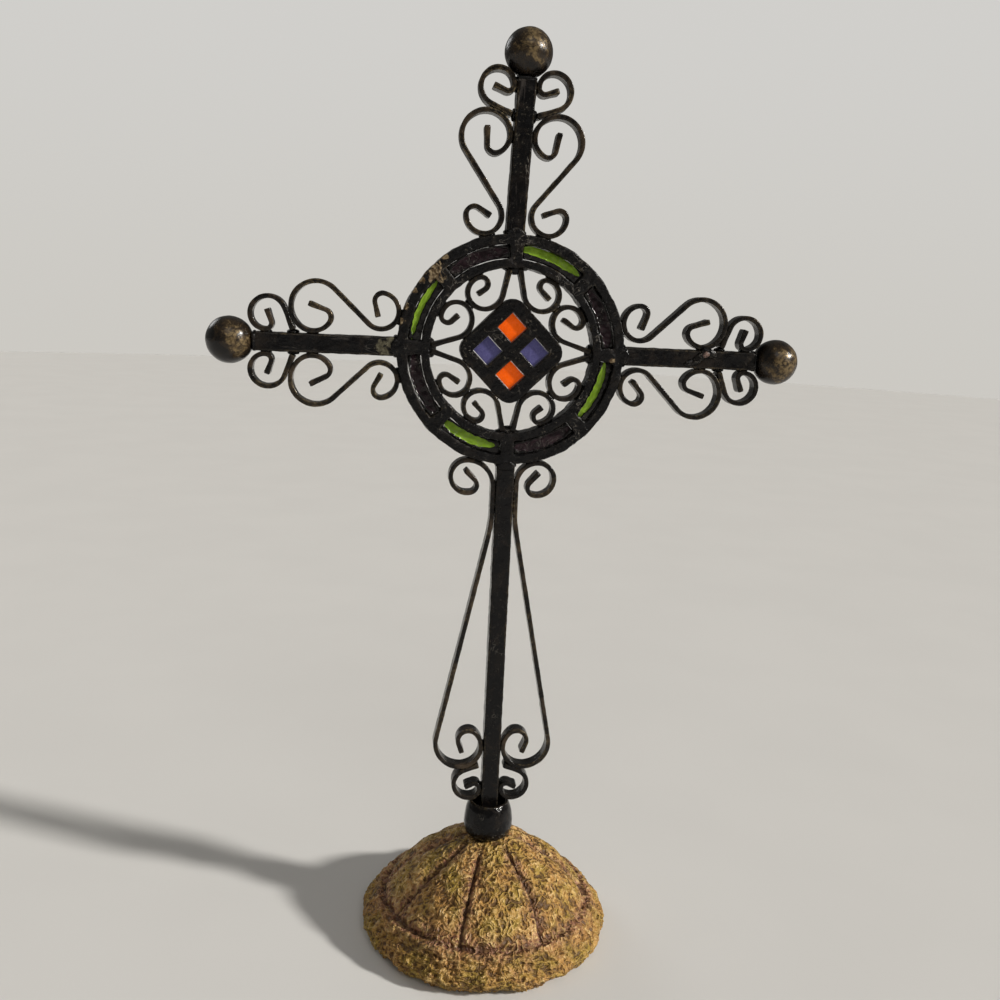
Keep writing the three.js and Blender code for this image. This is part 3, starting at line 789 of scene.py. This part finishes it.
def ring_pane_mesh(name, middle, free, seed):
    """free is the clear glass: its middle angle, half its span, its middle radius and half its width."""
    turn = np.linspace(middle - HALF_PANE_SPAN, middle + HALF_PANE_SPAN, PANE_ROWS)[:, None]
    inner, outer = SLOT_MIDDLE - HALF_PANE, SLOT_MIDDLE + HALF_PANE
    reach = np.linspace(inner, outer, 24)[None, :]
    along, across = (turn - middle) / HALF_PANE_SPAN, (reach - SLOT_MIDDLE) / HALF_PANE
    dome = 1.2 * (1 - 0.3 * across**4) * (1 - 0.3 * along**12)
    free_turn, free_span, free_reach, free_width = free
    taper = np.clip(1 - np.abs((turn - free_turn) / free_span) ** 3, 0, 1) ** 0.7
    rough = field(around(reach, 0, turn).reshape(-1, 3) * MM, 2.2, seed).reshape(dome.shape)
    # Outside the crescent the glass is coloured near black and stands a little prouder.
    dark_share = (np.abs(reach - free_reach) - free_width * taper + rough * 0.5) / 0.6
    dark_share = np.clip(dark_share + 0.5, 0, 1)
    front = -1.5 - dome - 0.75 * dark_share - 0.2 * rough
    front = np.concatenate([front, np.full((PANE_ROWS, 3), 1.5)], axis=1)
    reach = np.concatenate([reach[0], [outer, SLOT_MIDDLE, inner]])
    rows = around(reach, front, turn) * MM
    mesh = tube_mesh(name, rows + (ring_centre[0], 0, ring_centre[2]))
    keep(mesh, "paint", np.concatenate([dark_share, np.ones((PANE_ROWS, 3))], axis=1).ravel())
    return mesh


free_glass = {
    2: (69.3, 19.5, 43.5, 2.1),
    4: (155.3, 17.8, 43.4, 1.25),
    6: (244.5, 18.5, 41.9, 2.05),
    8: (337.5, 19.3, 41.5, 1.5),
}
for i in range(1, 9):
    tint = "green" if i % 2 == 0 else "plum"
    middle = (i - 0.5) * SLOT_TURN
    free = free_glass.get(i, (middle, 19, SLOT_MIDDLE, 2.3))
    mesh = ring_pane_mesh(f"ring_pane_{i}_glass", middle, free, 530 + i)
    add_piece(f"ring_pane_{i}_glass", mesh, glass[tint], f"ring_pane_{i}")
print("each ring pane:", len(mesh.polygons), "faces")

# %% [markdown]
# ## The collar
#
# The collar is a short turned socket. The lower bar stands in its open cup. It was forged and painted in
# one go, so it is round but dented, and its lip is thin and worn light. The sheet of faces starts in the
# middle of the underside, runs up the outside, over the lip and down into the cup.

# %% Turn the collar
def smooth_profile(corners, spacing):
    """A curve through the corners, with points at an even spacing."""
    corners = np.array(corners, float)
    padded = np.vstack([2 * corners[0] - corners[1], corners, 2 * corners[-1] - corners[-2]])
    curve = []
    for a, b, c, d in zip(padded, padded[1:], padded[2:], padded[3:]):
        share = np.linspace(0, 1, 24, endpoint=False)[:, None]
        square_part = (2 * a - 5 * b + 4 * c - d) + share * (3 * (b - c) + d - a)
        curve.append(b + share * 0.5 * ((c - a) + share * square_part))
    curve = np.vstack([*curve, corners[-1:]])
    along = np.concatenate([[0], np.cumsum(np.linalg.norm(np.diff(curve, axis=0), axis=1))])
    even = np.linspace(0, along[-1], max(2, round(along[-1] / spacing)))
    return np.stack([np.interp(even, along, curve[:, i]) for i in (0, 1)], axis=1)


def turned_rows(profile, columns):
    angle = np.linspace(0, 2 * np.pi, columns, endpoint=False)
    reach, height = profile[:, 0, None] * MM, profile[:, 1, None] * MM
    return np.stack([reach * np.cos(angle), reach * np.sin(angle), height + 0 * angle], axis=-1)


COLLAR_COLUMNS = 132
outside = smooth_profile([(8, 0), (10.7, 2.5), (11.6, 6.5), (11.3, 10.8), (10.5, 14.8), (9.3, 17.6)], 0.5)
lip = smooth_profile([(9.3, 17.6), (8.9, 18.05), (8.3, 18.05), (7.8, 17.6)], 0.25)
inside = smooth_profile([(7.8, 17.6), (7.75, 14), (7.6, 12.2), (6.8, 12), (0.4, 12)], 0.5)
under = smooth_profile([(0.4, 0), (8, 0)], 0.8)
profile = np.vstack([under, outside[1:], lip[1:], inside[1:]])
collar_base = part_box("collar")[0].z
rows = turned_rows(profile, COLLAR_COLUMNS)
rows[..., 2] += collar_base
flat = rows.reshape(-1, 3)
out = flat * (1, 1, 0) / np.maximum(np.linalg.norm(flat[:, :2], axis=1), 1e-6)[:, None]
dent = 0.3 * field(flat * (1, 1, 0.45), 5, 600) + 0.1 * field(flat, 2.2, 601)
reach = np.repeat(profile[:, 0], COLLAR_COLUMNS)
flat = flat + out * (dent * np.clip(reach / 8, 0, 1))[:, None] * MM
height = np.repeat(profile[:, 1], COLLAR_COLUMNS)
at_lip = np.exp(-(((reach - 8.5) / 1.1) ** 2) - ((height - 18) / 0.8) ** 2)
flat[:, 2] += at_lip * (0.45 * field(flat, 6, 602) + 0.25 * field(flat, 2, 603)) * MM
collar_mesh = tube_mesh("collar_iron", flat.reshape(rows.shape))
keep(collar_mesh, "edge", at_lip)
add_piece("collar_iron", collar_mesh, paints["collar"], "collar")
print("collar", len(profile), "rows by", COLLAR_COLUMNS, "columns")

# %% [markdown]
# ## The moulded foot
#
# The foot is cast in a stone-like paste and painted to look old. A round dome of eight uneven lobes rises
# from a rolled rim. Its skin is covered in worm-like ridges, as if crumpled foil had been pressed into the
# wet paste. All of that is a height above a plain turned form, so the sheet starts as a polar grid, where
# each point knows its angle and its place on the profile, and the heights are added one after another.

# %% Turn the plain foot
FOOT_COLUMNS = 640
rim_corners = [(47.5, 0), (54, 1.1), (58.2, 5), (57.6, 8.6), (54.4, 12.5), (51, 16), (48.4, 17.2)]
rim_curve = smooth_profile(rim_corners, 0.58)
dome_corners = [(48.4, 17.2), (46.6, 19.5), (44, 22.3), (36.5, 30.6), (25.5, 38.1), (14.1, 44.4), (9, 46)]
dome_curve = smooth_profile(dome_corners, 0.55)
cap_curve = smooth_profile([(9, 46), (0.5, 46)], 1.2)
base_curve = smooth_profile([(0.5, 0), (47.5, 0)], 4)
foot_profile = np.vstack([base_curve, rim_curve[1:], dome_curve[1:], cap_curve[1:]])
foot_rows = turned_rows(foot_profile, FOOT_COLUMNS)
foot_reach, foot_height = foot_profile.T
part = np.repeat([0, 1, 2, 3], [len(base_curve), len(rim_curve) - 1, len(dome_curve) - 1, len(cap_curve) - 1])
tilt = np.gradient(foot_profile, axis=0)
tilt /= np.linalg.norm(tilt, axis=1)[:, None]
angle = np.linspace(0, 360, FOOT_COLUMNS, endpoint=False)
spin = np.radians(angle)
turned = np.stack([np.cos(spin), np.sin(spin), 0 * spin], axis=1)
foot_out = tilt[:, 1, None, None] * turned - tilt[:, 0, None, None] * (0, 0, 1)
print("foot grid:", len(foot_profile), "by", FOOT_COLUMNS)

# %% [markdown]
# ## Lobes
#
# Eight grooves part the dome. They were drawn by hand and wander a little on their way down, so each has an
# angle at the top and another at the rim. Between two grooves the skin swells and falls off steeply beside
# each of them, like a pumpkin.

# %% Swell the lobes
groove_top = np.array([1, 46, 84, 129, 172, 214, 251, 305])
groove_foot = np.array([-3, 41, 88, 133, 168, 205, 251, 297])
LOBE_RISE, LOBE_SINK, LOBE_LIFT = 1.9, 0.7, math.radians(53)

down = np.clip((46 - foot_height) / 29.4, 0, 1)
grooves = groove_top + (groove_foot - groove_top) * down[:, None]
share = np.zeros((len(foot_profile), FOOT_COLUMNS))
groove_gap = np.full_like(share, 99.0)
for row in range(len(foot_profile)):
    lines_here = np.sort(grooves[row] % 360)
    place = np.searchsorted(lines_here, angle) % 8
    left, right = lines_here[place - 1], lines_here[place]
    width = (right - left) % 360
    from_left = (angle - left) % 360
    share[row] = from_left / width
    nearest_groove = np.minimum(from_left, width - from_left)
    groove_gap[row] = np.radians(nearest_groove) * foot_reach[row]
on_dome = (part == 2)[:, None] * np.clip(foot_reach / 14 - 0.4, 0, 1)[:, None]
CREASE = (48.4, 17.2)
crease_gap = np.where(part >= 1, np.hypot(foot_reach - CREASE[0], foot_height - CREASE[1]), 0)
swell = LOBE_RISE * (np.sqrt(np.sin(np.pi * np.clip(share, 0, 1))) - LOBE_SINK)
swell = swell * on_dome * np.clip(0.35 + crease_gap / 6, 0, 1)[:, None]
lift = turned * math.cos(LOBE_LIFT) + (0, 0, math.sin(LOBE_LIFT))
foot_rows = foot_rows + swell[..., None] * lift * MM
print("lobes rise", round(swell.max(), 2), "and sink", round(swell.min(), 2), "mm")

# %% [markdown]
# ## Crumpled skin
#
# Worms come from a simple trick: where a random field passes through nought, its size without its sign has a
# sharp valley, so one minus that size has a sharp crest, and the crests link up into winding ridges. Bending
# the places at which the field is read keeps the ridges from looking like a pattern.
#
# The paste was squeezed into level folds where the rim was rolled, most of all at the front and left. Reading
# the field at places that are stretched upwards turns worms into such folds.

# %% Crumple the skin
def ridges(points, size, seed, thin):
    """Winding crests, 1 at the top and 0 between them."""
    return np.clip(1 - np.abs(field(points, size, seed)) * thin, 0, 1)


skin = foot_rows.reshape(-1, 3)
bend = np.stack([field(skin, 3.6, 700 + i) for i in range(3)], axis=1) * 1.5 * MM
thick = ridges(skin + bend, 4.4, 710, 2.9)
thin = ridges(skin - bend, 3.2, 711, 2.6)
calm = np.clip(0.8 + 0.9 * field(skin, 9, 714), 0.3, 1)
relief = np.maximum(thick, thin * 0.85)
relief = (relief * calm).reshape(share.shape)
lumps = field(skin, 8, 712).reshape(share.shape)
stretched = skin * (1, 1, 2.6)
wrinkles = (ridges(stretched + bend * 2, 6.5, 713, 2.4) * calm).reshape(share.shape)
rim_share = np.clip((17 - foot_height) / 3, 0, 1)[:, None] + 0 * share
rise = relief * (0.95 + 0.2 * rim_share) - 0.5 + lumps * 0.4
folded_side = np.cos(spin - math.radians(238))
rise = rise + rim_share * (wrinkles - 0.35) * (1.0 + 0.3 * folded_side)
rise = rise - 0.9 * np.exp(-((groove_gap / 1.1) ** 2)) * on_dome
rim_edge = np.hypot(foot_reach - 51.2, foot_height - 15.9)
rise = rise + 0.75 * np.exp(-((rim_edge / 1.8) ** 2))[:, None] * (part == 1)[:, None]
crease_depth = 0.85 + 0.6 * np.cos(spin - math.radians(205))
crease_depth = crease_depth * np.clip(0.8 + field(turned * 50 * MM, 9, 716), 0.3, 1.4)
above_base = (part >= 1)[:, None]
rise = rise - crease_depth * np.exp(-((crease_gap / 1.6) ** 2))[:, None] * above_base
rise = rise * above_base * np.clip(foot_height / 1.5, 0, 1)[:, None]
rise = rise * np.clip((foot_reach - 7) / 5, 0.15, 1)[:, None]
print("relief from", round(rise.min(), 2), "to", round(rise.max(), 2), "mm")

# %% [markdown]
# ## The crack
#
# A thin crack runs along the rim at the front. Its path was read from the picture as six points. A line of
# sight through each of them meets the rim somewhere, and that place is found by walking along the line in
# small steps until it is inside the turned form. Counted in points of the picture, which is 1000 across, the
# lens lies 1005 in front of it.

# %% Find the crack on the rim
crack_seen = [(517.3, 918.7), (530.7, 920.7), (548, 920.7), (561.3, 914.7), (572, 905.3), (576, 902.7)]
PICTURE_MIDDLE, PICTURE_FOCUS = 500, 1005


def on_the_rim(seen):
    across, up = (seen[0] - PICTURE_MIDDLE) / PICTURE_FOCUS, (PICTURE_MIDDLE - seen[1]) / PICTURE_FOCUS
    sight = Vector((across, up, -1))
    sight = (camera.matrix_world.to_3x3() @ sight).normalized()
    walk = np.array(camera_place) + np.arange(0.3, 0.7, 0.0001)[:, None] * np.array(sight)
    reach = np.interp(walk[:, 2] / MM, rim_curve[:, 1], rim_curve[:, 0]) * MM
    inside = (np.hypot(walk[:, 0], walk[:, 1]) < reach) & (walk[:, 2] < CREASE[1] * MM)
    return walk[np.argmax(inside)]


crack = np.array([on_the_rim(seen) for seen in crack_seen])
runs = [np.linspace(a, b, 24, endpoint=False) for a, b in zip(crack, crack[1:])]
dense = np.vstack([*runs, crack[-1:]])
dense += np.stack([field(dense, 2.5, 720 + i) for i in range(3)], axis=1) * 0.5 * MM
near = np.linalg.norm(skin - crack.mean(axis=0), axis=1) < 0.05
crack_gap = np.full(len(skin), 99.0)
crack_gap[near] = np.linalg.norm(skin[near, None] - dense[None], axis=2).min(axis=1) / MM
crack_gap = crack_gap.reshape(share.shape)
rise = rise - 0.7 * np.exp(-(crack_gap / 0.55) ** 2)
print("crack from", crack[0].round(3), "to", crack[-1].round(3))

# %% [markdown]
# ## Paint on the foot
#
# The paint is ochre all over. The crevices are coloured dark as painted shade and the crests pale as painted
# highlight. Mauve lies along the grooves and the crease, and along the crease on the left it spreads wider as
# painted shade. Dark lines of painted shade run in the grooves, in the crack and in the crease, darkest on
# the left. Each of those follows a height that is already known, so the mesh carries the heights to the
# shader.
# The finest worms and folds are too small for the mesh, so the shader makes them from the crests of its own
# noise.

# %% Finish the foot
def foot_finish():
    paint = Finish("painted_stone")
    height = paint.measured("relief")
    groove = paint.measured("groove")
    worm = paint.noise(4.8, detail=1.6, rough=0.45, warp=0.6).crest(0.125)
    fold = paint.noise(6.8, detail=2.4, rough=0.5, warp=0.5, stretch=(0.8, 0.8, 2.8)).crest(0.1)
    folded = paint.measured("rim")
    worm = worm * (1 - folded * 0.65) + fold * folded * 0.85
    fine = paint.noise(2.7, detail=1.6, rough=0.5, warp=0.5).crest(0.13)
    skin = worm * 0.45 + fine * 0.2 + height * 0.35 - folded * 0.06
    patch = paint.noise(13, detail=4, rough=0.6)
    spots = paint.noise(4.5, detail=5, rough=0.65)
    broken = paint.noise(1.8, detail=6, rough=0.7).between(0.35, 0.62)
    ochre = paint.blend(patch.between(0.4, 0.6), (0.44, 0.235, 0.062), (0.36, 0.235, 0.040))
    ochre = paint.blend(spots.between(0.5, 0.68) * 0.6, ochre, (0.30, 0.15, 0.055))
    # The mauve of the grooves and the crease, spread wider on the left as painted shade.
    mauve = paint.blend(spots.between(0.42, 0.6), (0.21, 0.080, 0.050), (0.41, 0.20, 0.13))
    colour = paint.blend(paint.measured("mauve") * (broken * 0.6 + 0.4), ochre, mauve)
    # Painted shade: the crevices between the crests are coloured dark.
    colour = paint.blend((1 - skin.between(0.12, 0.5)) * 0.88, colour, (0.062, 0.027, 0.008))
    crest = skin.between(0.5, 0.95)
    # Painted highlight: the crests are coloured pale.
    colour = paint.blend(crest * 0.72, colour, (0.69, 0.475, 0.195))
    # Painted shade lines in the grooves, the crack and the crease.
    colour = paint.blend(groove * 0.8, colour, (0.045, 0.018, 0.010))
    roughness = 0.55 - crest * 0.22
    surface = worm * 0.7 + fine * 0.3
    return paint.surface(
        base_color=colour, roughness=roughness, normal=paint.bump(surface, 1.3), specular_ior_level=0.32
    )


foot_rows = foot_rows + rise[..., None] * foot_out * MM
foot_mesh = tube_mesh("foot_stone", foot_rows)
kept_relief = relief * (1 - 0.25 * rim_share) + wrinkles * 0.3 * rim_share
near_groove = np.exp(-((groove_gap / 3.4) ** 2)) * on_dome
# The mauve at the crease reaches wider on the left side: painted shade.
painted_shade_side = np.clip(np.cos(spin - math.radians(222)), 0, 1) * (part >= 2)[:, None]
near_crease = np.exp(-((crease_gap[:, None] / (2.6 + 3.2 * painted_shade_side)) ** 2)) * above_base
top_of_rim = 0.35 * np.clip((foot_height - 9) / 6, 0, 1)[:, None] * (part == 1)[:, None]
# Painted shade in the crease, darkest on the left where the crease is deepest.
painted_shade_in_crease = 0.75 * crease_depth * np.exp(-((crease_gap / 0.9) ** 2))[:, None] * above_base
# Painted shade lines: dark lines in the grooves, the crack and the crease.
painted_shade_lines = np.exp(-((groove_gap / 0.75) ** 2)) * on_dome + np.exp(-((crack_gap / 0.4) ** 2)) + painted_shade_in_crease
numbers = {
    "relief": kept_relief,
    "mauve": near_groove + near_crease + top_of_rim,
    "groove": painted_shade_lines,
    "rim": rim_share * (0.6 + 0.4 * folded_side),
}
for name, values in numbers.items():
    keep(foot_mesh, name, np.clip(values, 0, 1).ravel())
add_piece("foot_stone", foot_mesh, foot_finish(), "foot")
print("foot:", len(foot_mesh.polygons), "faces")

# %% [markdown]
# ## Welds
#
# Scrolls, bars and ring are held together by small tack welds. A weld is a lump of iron that has run into
# the corner where two pieces meet. The solids leave a hair's breadth between pieces, and the lumps close it.
# Where they go can be worked out: a scroll is welded where its line comes closest to a bar, to the ring, to
# the diamond, or to another scroll. Inside the ring the scrolls start in pairs, and a larger lump holds both.

# %% Find where the pieces meet
centre = ring_centre[[0, 2]]


def closest_run(distance, most):
    """Index of the smallest distance in each run of points that lie closer than most."""
    close = distance < most * MM
    starts = np.flatnonzero(close & ~np.roll(close, 1))
    found = []
    for start in starts:
        stop = start
        while stop < len(close) and close[stop]:
            stop += 1
        found.append(start + int(np.argmin(distance[start:stop])))
    return found


def quarter_turn(way):
    return np.array((-way[1], way[0]))


half_strap = STRAP_THICK / 2 * MM
meetings = []
for name, line in lines.items():
    from_centre = np.linalg.norm(line - centre, axis=1)
    outward = (line - centre) / from_centre[:, None]
    if name.startswith("ring_scroll"):
        for i in closest_run(BORE_REACH * MM - from_centre - half_strap, 0.5):
            meetings.append(("bore", line[i] + outward[i] * half_strap, quarter_turn(outward[i])))
        x, z = np.abs(line - centre).T
        for i in closest_run((x + z) / math.sqrt(2) - HALF_DIAMOND * MM - half_strap, 0.6):
            inward = -np.sign(line[i] - centre) / math.sqrt(2)
            meetings.append(("diamond", line[i] + inward * half_strap, quarter_turn(inward)))
        continue
    for i in closest_run(from_centre - RING_REACH * MM - half_strap, 0.6):
        meetings.append(("ring", line[i] - outward[i] * half_strap, quarter_turn(outward[i])))
    for bar in bars.values():
        length = np.linalg.norm(bar[-1] - bar[0])
        axis = (bar[-1] - bar[0]) / length
        across = (line - bar[0]) @ quarter_turn(axis)
        along = (line - bar[0]) @ axis
        off = np.where((along > 0) & (along < length), np.abs(across) - 4 * MM - half_strap, 1)
        for i in closest_run(off, 0.55):
            meetings.append(("bar", line[i] - np.sign(across[i]) * quarter_turn(axis) * half_strap, axis))
for first, second in itertools.combinations(lines, 2):
    gap = np.linalg.norm(lines[first][:, None] - lines[second][None], axis=2)
    for i in closest_run(gap.min(axis=1) - 2 * half_strap, 0.6):
        j = int(np.argmin(gap[i]))
        between_them = lines[second][j] - lines[first][i]
        way = quarter_turn(between_them / np.linalg.norm(between_them))
        meetings.append(("strap", (lines[first][i] + lines[second][j]) / 2, way))
kinds = [kind for kind, _, _ in meetings]
print({kind: kinds.count(kind) for kind in sorted(set(kinds))})


# %% Lay the welds
form = bmesh.new()
bmesh.ops.create_icosphere(form, subdivisions=3, radius=1)
weld_ball = np.array([vertex.co for vertex in form.verts])
weld_faces = np.array([[vertex.index for vertex in face.verts] for face in form.faces])
form.free()


def weld_piece(name, beads, paint=paints["casting"]):
    """Each bead is a place, its half sizes, and the direction of its first half size seen from the front."""
    clumps = []
    for seed, (place, size, along) in enumerate(beads):
        turned = np.array(((along[0], 0, along[1]), (0, 1, 0), (-along[1], 0, along[0])))
        points = (weld_ball * size) @ turned * MM + place
        out = weld_ball @ turned
        dent = 0.35 * field(points, 2.4, 820) + 0.12 * field(points, 1.1, 821 + seed % 5)
        clumps.append(points + out * dent[:, None] * MM)
    points = np.vstack(clumps)
    faces = np.vstack([weld_faces + i * len(weld_ball) for i in range(len(beads))])
    mesh = bpy.data.meshes.new(name)
    mesh.from_pydata(points.tolist(), [], faces.tolist())
    keep(mesh, "edge", np.clip(field(points, 2, 810) * 0.8, 0, 0.6))
    return add_piece(name, mesh, paint)


beads = []
weld_sizes = {"bore": (3.8, 3.1, 1.6), "diamond": (2.5, 2.7, 1.1), "ring": (3.6, 3.1, 1.7)}
weld_sizes |= {"bar": (2.6, 2.9, 1.05), "strap": (2.4, 2.8, 0.95), "pair": (4.4, 3.3, 2.4)}
for kind, (x, z), way in meetings:
    beads.append((np.array((x, 0, z)), weld_sizes[kind], way))
for turn in np.radians((0, 90, 180, 270)):
    outward = np.array((math.cos(turn), math.sin(turn)))
    x, z = centre + outward * 35 * MM
    beads.append((np.array((x, 0, z)), weld_sizes["pair"], quarter_turn(outward)))
weld_piece("scroll_welds", beads)
print(len(beads), "welds at the scrolls")

# %% [markdown]
# ## Where the bars end
#
# Each bar is welded to the ring all round, with a bead more on the front and on the back, and to its ball
# all round. The lower bar stands in the collar. On the front of the right bar a lump of weld ran down and
# froze, and its heat left a bare spot of dull pinkish brown.

# %% Weld the ends of the bars
def loop_mesh(name, loops):
    """Lumpy rings of weld. Each is a place, the direction of the bar, a radius and a thickness."""
    points, faces = [], []
    round_bar = np.linspace(0, 2 * np.pi, 56, endpoint=False)[:, None]
    round_bead = np.linspace(0, 2 * np.pi, 14, endpoint=False)[None, :]
    for seed, (place, away, radius, thick) in enumerate(loops):
        away = np.array((away[0], 0, away[1]))
        across = np.array((-away[2], 0, away[0]))
        square = (np.abs(np.cos(round_bar)) ** 4 + np.abs(np.sin(round_bar)) ** 4) ** -0.25
        out = across * np.cos(round_bar)[..., None] + np.array((0, 1, 0)) * np.sin(round_bar)[..., None]
        rows = place + radius * square[..., None] * out * MM
        lump = out * np.cos(round_bead)[..., None] + away * np.sin(round_bead)[..., None]
        rows = rows + thick * lump * MM
        flat = rows.reshape(-1, 3)
        dent = 0.4 * field(flat, 2.6, 840 + seed) + 0.15 * field(flat, 1.2, 850 + seed)
        rows = rows + lump * dent.reshape(rows.shape[:2])[..., None] * MM
        index = np.arange(rows.shape[0] * rows.shape[1]).reshape(rows.shape[:2]) + sum(map(len, points))
        onward, round_it = np.roll(index, -1, axis=0), np.roll(index, -1, axis=1)
        corners = [index, onward, np.roll(onward, -1, axis=1), round_it]
        faces.append(np.stack(corners, axis=-1).reshape(-1, 4))
        points.append(rows.reshape(-1, 3))
    mesh = bpy.data.meshes.new(name)
    mesh.from_pydata(np.vstack(points).tolist(), [], np.vstack(faces).tolist())
    keep(mesh, "edge", np.clip(field(np.vstack(points), 2, 811) * 0.8, 0, 0.6))
    return mesh


loops, beads = [], []
for name, line in bars.items():
    inner, outer = line[0], line[-1]
    if np.linalg.norm(outer - centre) < np.linalg.norm(inner - centre):
        inner, outer = outer, inner
    away = (outer - inner) / np.linalg.norm(outer - inner)
    loops.append((np.array((inner[0], 0, inner[1])), away, 3.9, 0.95))
    beads.append((np.array((inner[0], -4.2 * MM, inner[1])), (2.2, 0.7, 3.6), away))
    beads.append((np.array((inner[0], 4.2 * MM, inner[1])), (2.2, 0.7, 3.6), away))
    if name != "lower_bar":
        loops.append((np.array((outer[0], 0, outer[1])), away, 3.7, 0.75))
add_piece("bar_welds", loop_mesh("bar_welds", loops), paints["casting"])
print(len(loops), "rings of weld round the bars")


# %% Add the beads and the run of weld on the right bar
drip = np.array((83.5, -4.1, 277.4)) * MM
beads.append((drip, (4.2, 1.3, 1.9), (0.8, 0.6)))
beads.append((drip + np.array((4.6, 0.0, 2.8)) * MM, (4.0, 1.2, 2.2), (0.9, -0.3)))
beads.append((drip + np.array((-3.6, 0.1, -2.0)) * MM, (3.0, 1.0, 1.5), (0.95, 0.3)))
weld_piece("bar_patches", beads)
scorched = Finish("scorched_iron")
spots = scorched.noise(1.6, detail=5, rough=0.65)
pinkish = scorched.blend(spots.between(0.4, 0.6), (0.05, 0.030, 0.025), (0.19, 0.115, 0.09))
scorched.surface(base_color=pinkish, roughness=spots.between(0.3, 0.7) * 0.3 + 0.35)
spot = (drip + np.array((2.9, -1.0, 1.9)) * MM, (1.7, 0.6, 1.3), (0.8, 0.6))
weld_piece("bar_spot", [spot], scorched.material)
print(len(beads), "beads and one bare spot")

# %% [markdown]
# ## Studio
#
# The iron is black and glossy, so it shows only what it mirrors. A pale room all round would turn it grey.
# The pale wall is therefore seen by the camera alone: its switches keep it out of reflections and bounced
# light, and it shines by itself, a little brighter higher up. A plain dim sky gives the iron just enough to
# mirror. A hard sun from the right gives each ball its small highlight, a broad one from above and in front
# fills the shadows, and a weak one from behind parts the edges from the floor. Suns light the whole floor
# alike, so it stays even up to the horizon.

# %% Build the floor
def plain_surface(name, colour, roughness):
    cover = Finish(name)
    clouds = cover.noise(120, detail=2).between(0.3, 0.7)
    mixed = cover.blend(clouds, colour, tuple(c * 0.98 for c in colour))
    return cover.surface(base_color=mixed, roughness=roughness, specular_ior_level=0.2)


def stage_piece(name, points, faces, cover):
    mesh = bpy.data.meshes.new(name)
    mesh.from_pydata(points, [], faces)
    mesh.materials.append(cover)
    piece = bpy.data.objects.new(name, mesh)
    bpy.context.scene.collection.objects.link(piece)
    piece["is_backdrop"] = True
    return piece


ROOM_REACH, ROOM_HEIGHT, ROOM_SIDES = 4, 5, 64
corners = np.linspace(0, 2 * np.pi, ROOM_SIDES, endpoint=False)
circle = [(ROOM_REACH * math.cos(a), ROOM_REACH * math.sin(a)) for a in corners]
pale_floor = plain_surface("pale_floor", (0.69, 0.68, 0.66), 0.85)
stage_piece("floor", [(x, y, 0) for x, y in circle], [list(range(ROOM_SIDES))], pale_floor)
print("floor", ROOM_REACH * 2, "m across")


# %% Build the wall
glow = Finish("pale_wall")
height_of = glow.node("ShaderNodeSeparateXYZ", None, (glow.place,), output=2)
paler = glow.blend(height_of.between(-0.2, 1.6), (0.885, 0.858, 0.80), (0.935, 0.92, 0.885))
glow.surface(base_color=(0, 0, 0, 1), specular_ior_level=0.0, emission_color=paler, emission_strength=0.68)
wall_points = [(x, y, z) for z in (-0.01, ROOM_HEIGHT) for x, y in circle]
wall_faces = [
    (i, (i + 1) % ROOM_SIDES, ROOM_SIDES + (i + 1) % ROOM_SIDES, ROOM_SIDES + i) for i in range(ROOM_SIDES)
]
ceiling = list(range(ROOM_SIDES, 2 * ROOM_SIDES))
wall = stage_piece("wall", wall_points, [*wall_faces, ceiling], glow.material)
for kind_of_ray in ("diffuse", "glossy", "transmission", "shadow"):
    setattr(wall, f"visible_{kind_of_ray}", False)
print("wall", ROOM_HEIGHT, "m high, seen by the camera alone")


# %% Light the scene
world = bpy.data.worlds.new("studio")
world.use_nodes = True
sky = world.node_tree.nodes["Background"]
sky.inputs["Color"].default_value = (1, 0.96, 0.89, 1)
sky.inputs["Strength"].default_value = 0.16
bpy.context.scene.world = world
bpy.context.scene.view_settings.view_transform = "Standard"


def sun(name, toward, angle, strength, colour=(1, 1, 1)):
    """toward points from the cross to the sun."""
    light = bpy.data.lights.new(name, "SUN")
    light.angle = math.radians(angle)
    light.energy = strength
    light.color = colour
    holder = bpy.data.objects.new(name, light)
    holder.rotation_euler = Vector(toward).to_track_quat("Z", "Y").to_euler()
    bpy.context.scene.collection.objects.link(holder)


sun("key", (0.92, -0.4, 0.5), 5, 3.9, (1.0, 0.97, 0.92))
sun("fill", (0.05, -0.7, 0.7), 30, 0.4, (1.0, 0.98, 0.95))
sun("back", (-0.6, 0.7, 0.45), 20, 0.35)
print("suns:", len(bpy.data.lights))

# %% [markdown]
# ## The two boxes
#
# The dressed cross has to be as large as the measured solids. Both boxes are written down.

# %% Print both boxes
own_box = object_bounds()
boxes = {"cad": cad_box, "visual": own_box}
for name, (low, high) in boxes.items():
    print(name, "box:", *[round(c / MM, 1) for c in high - low])
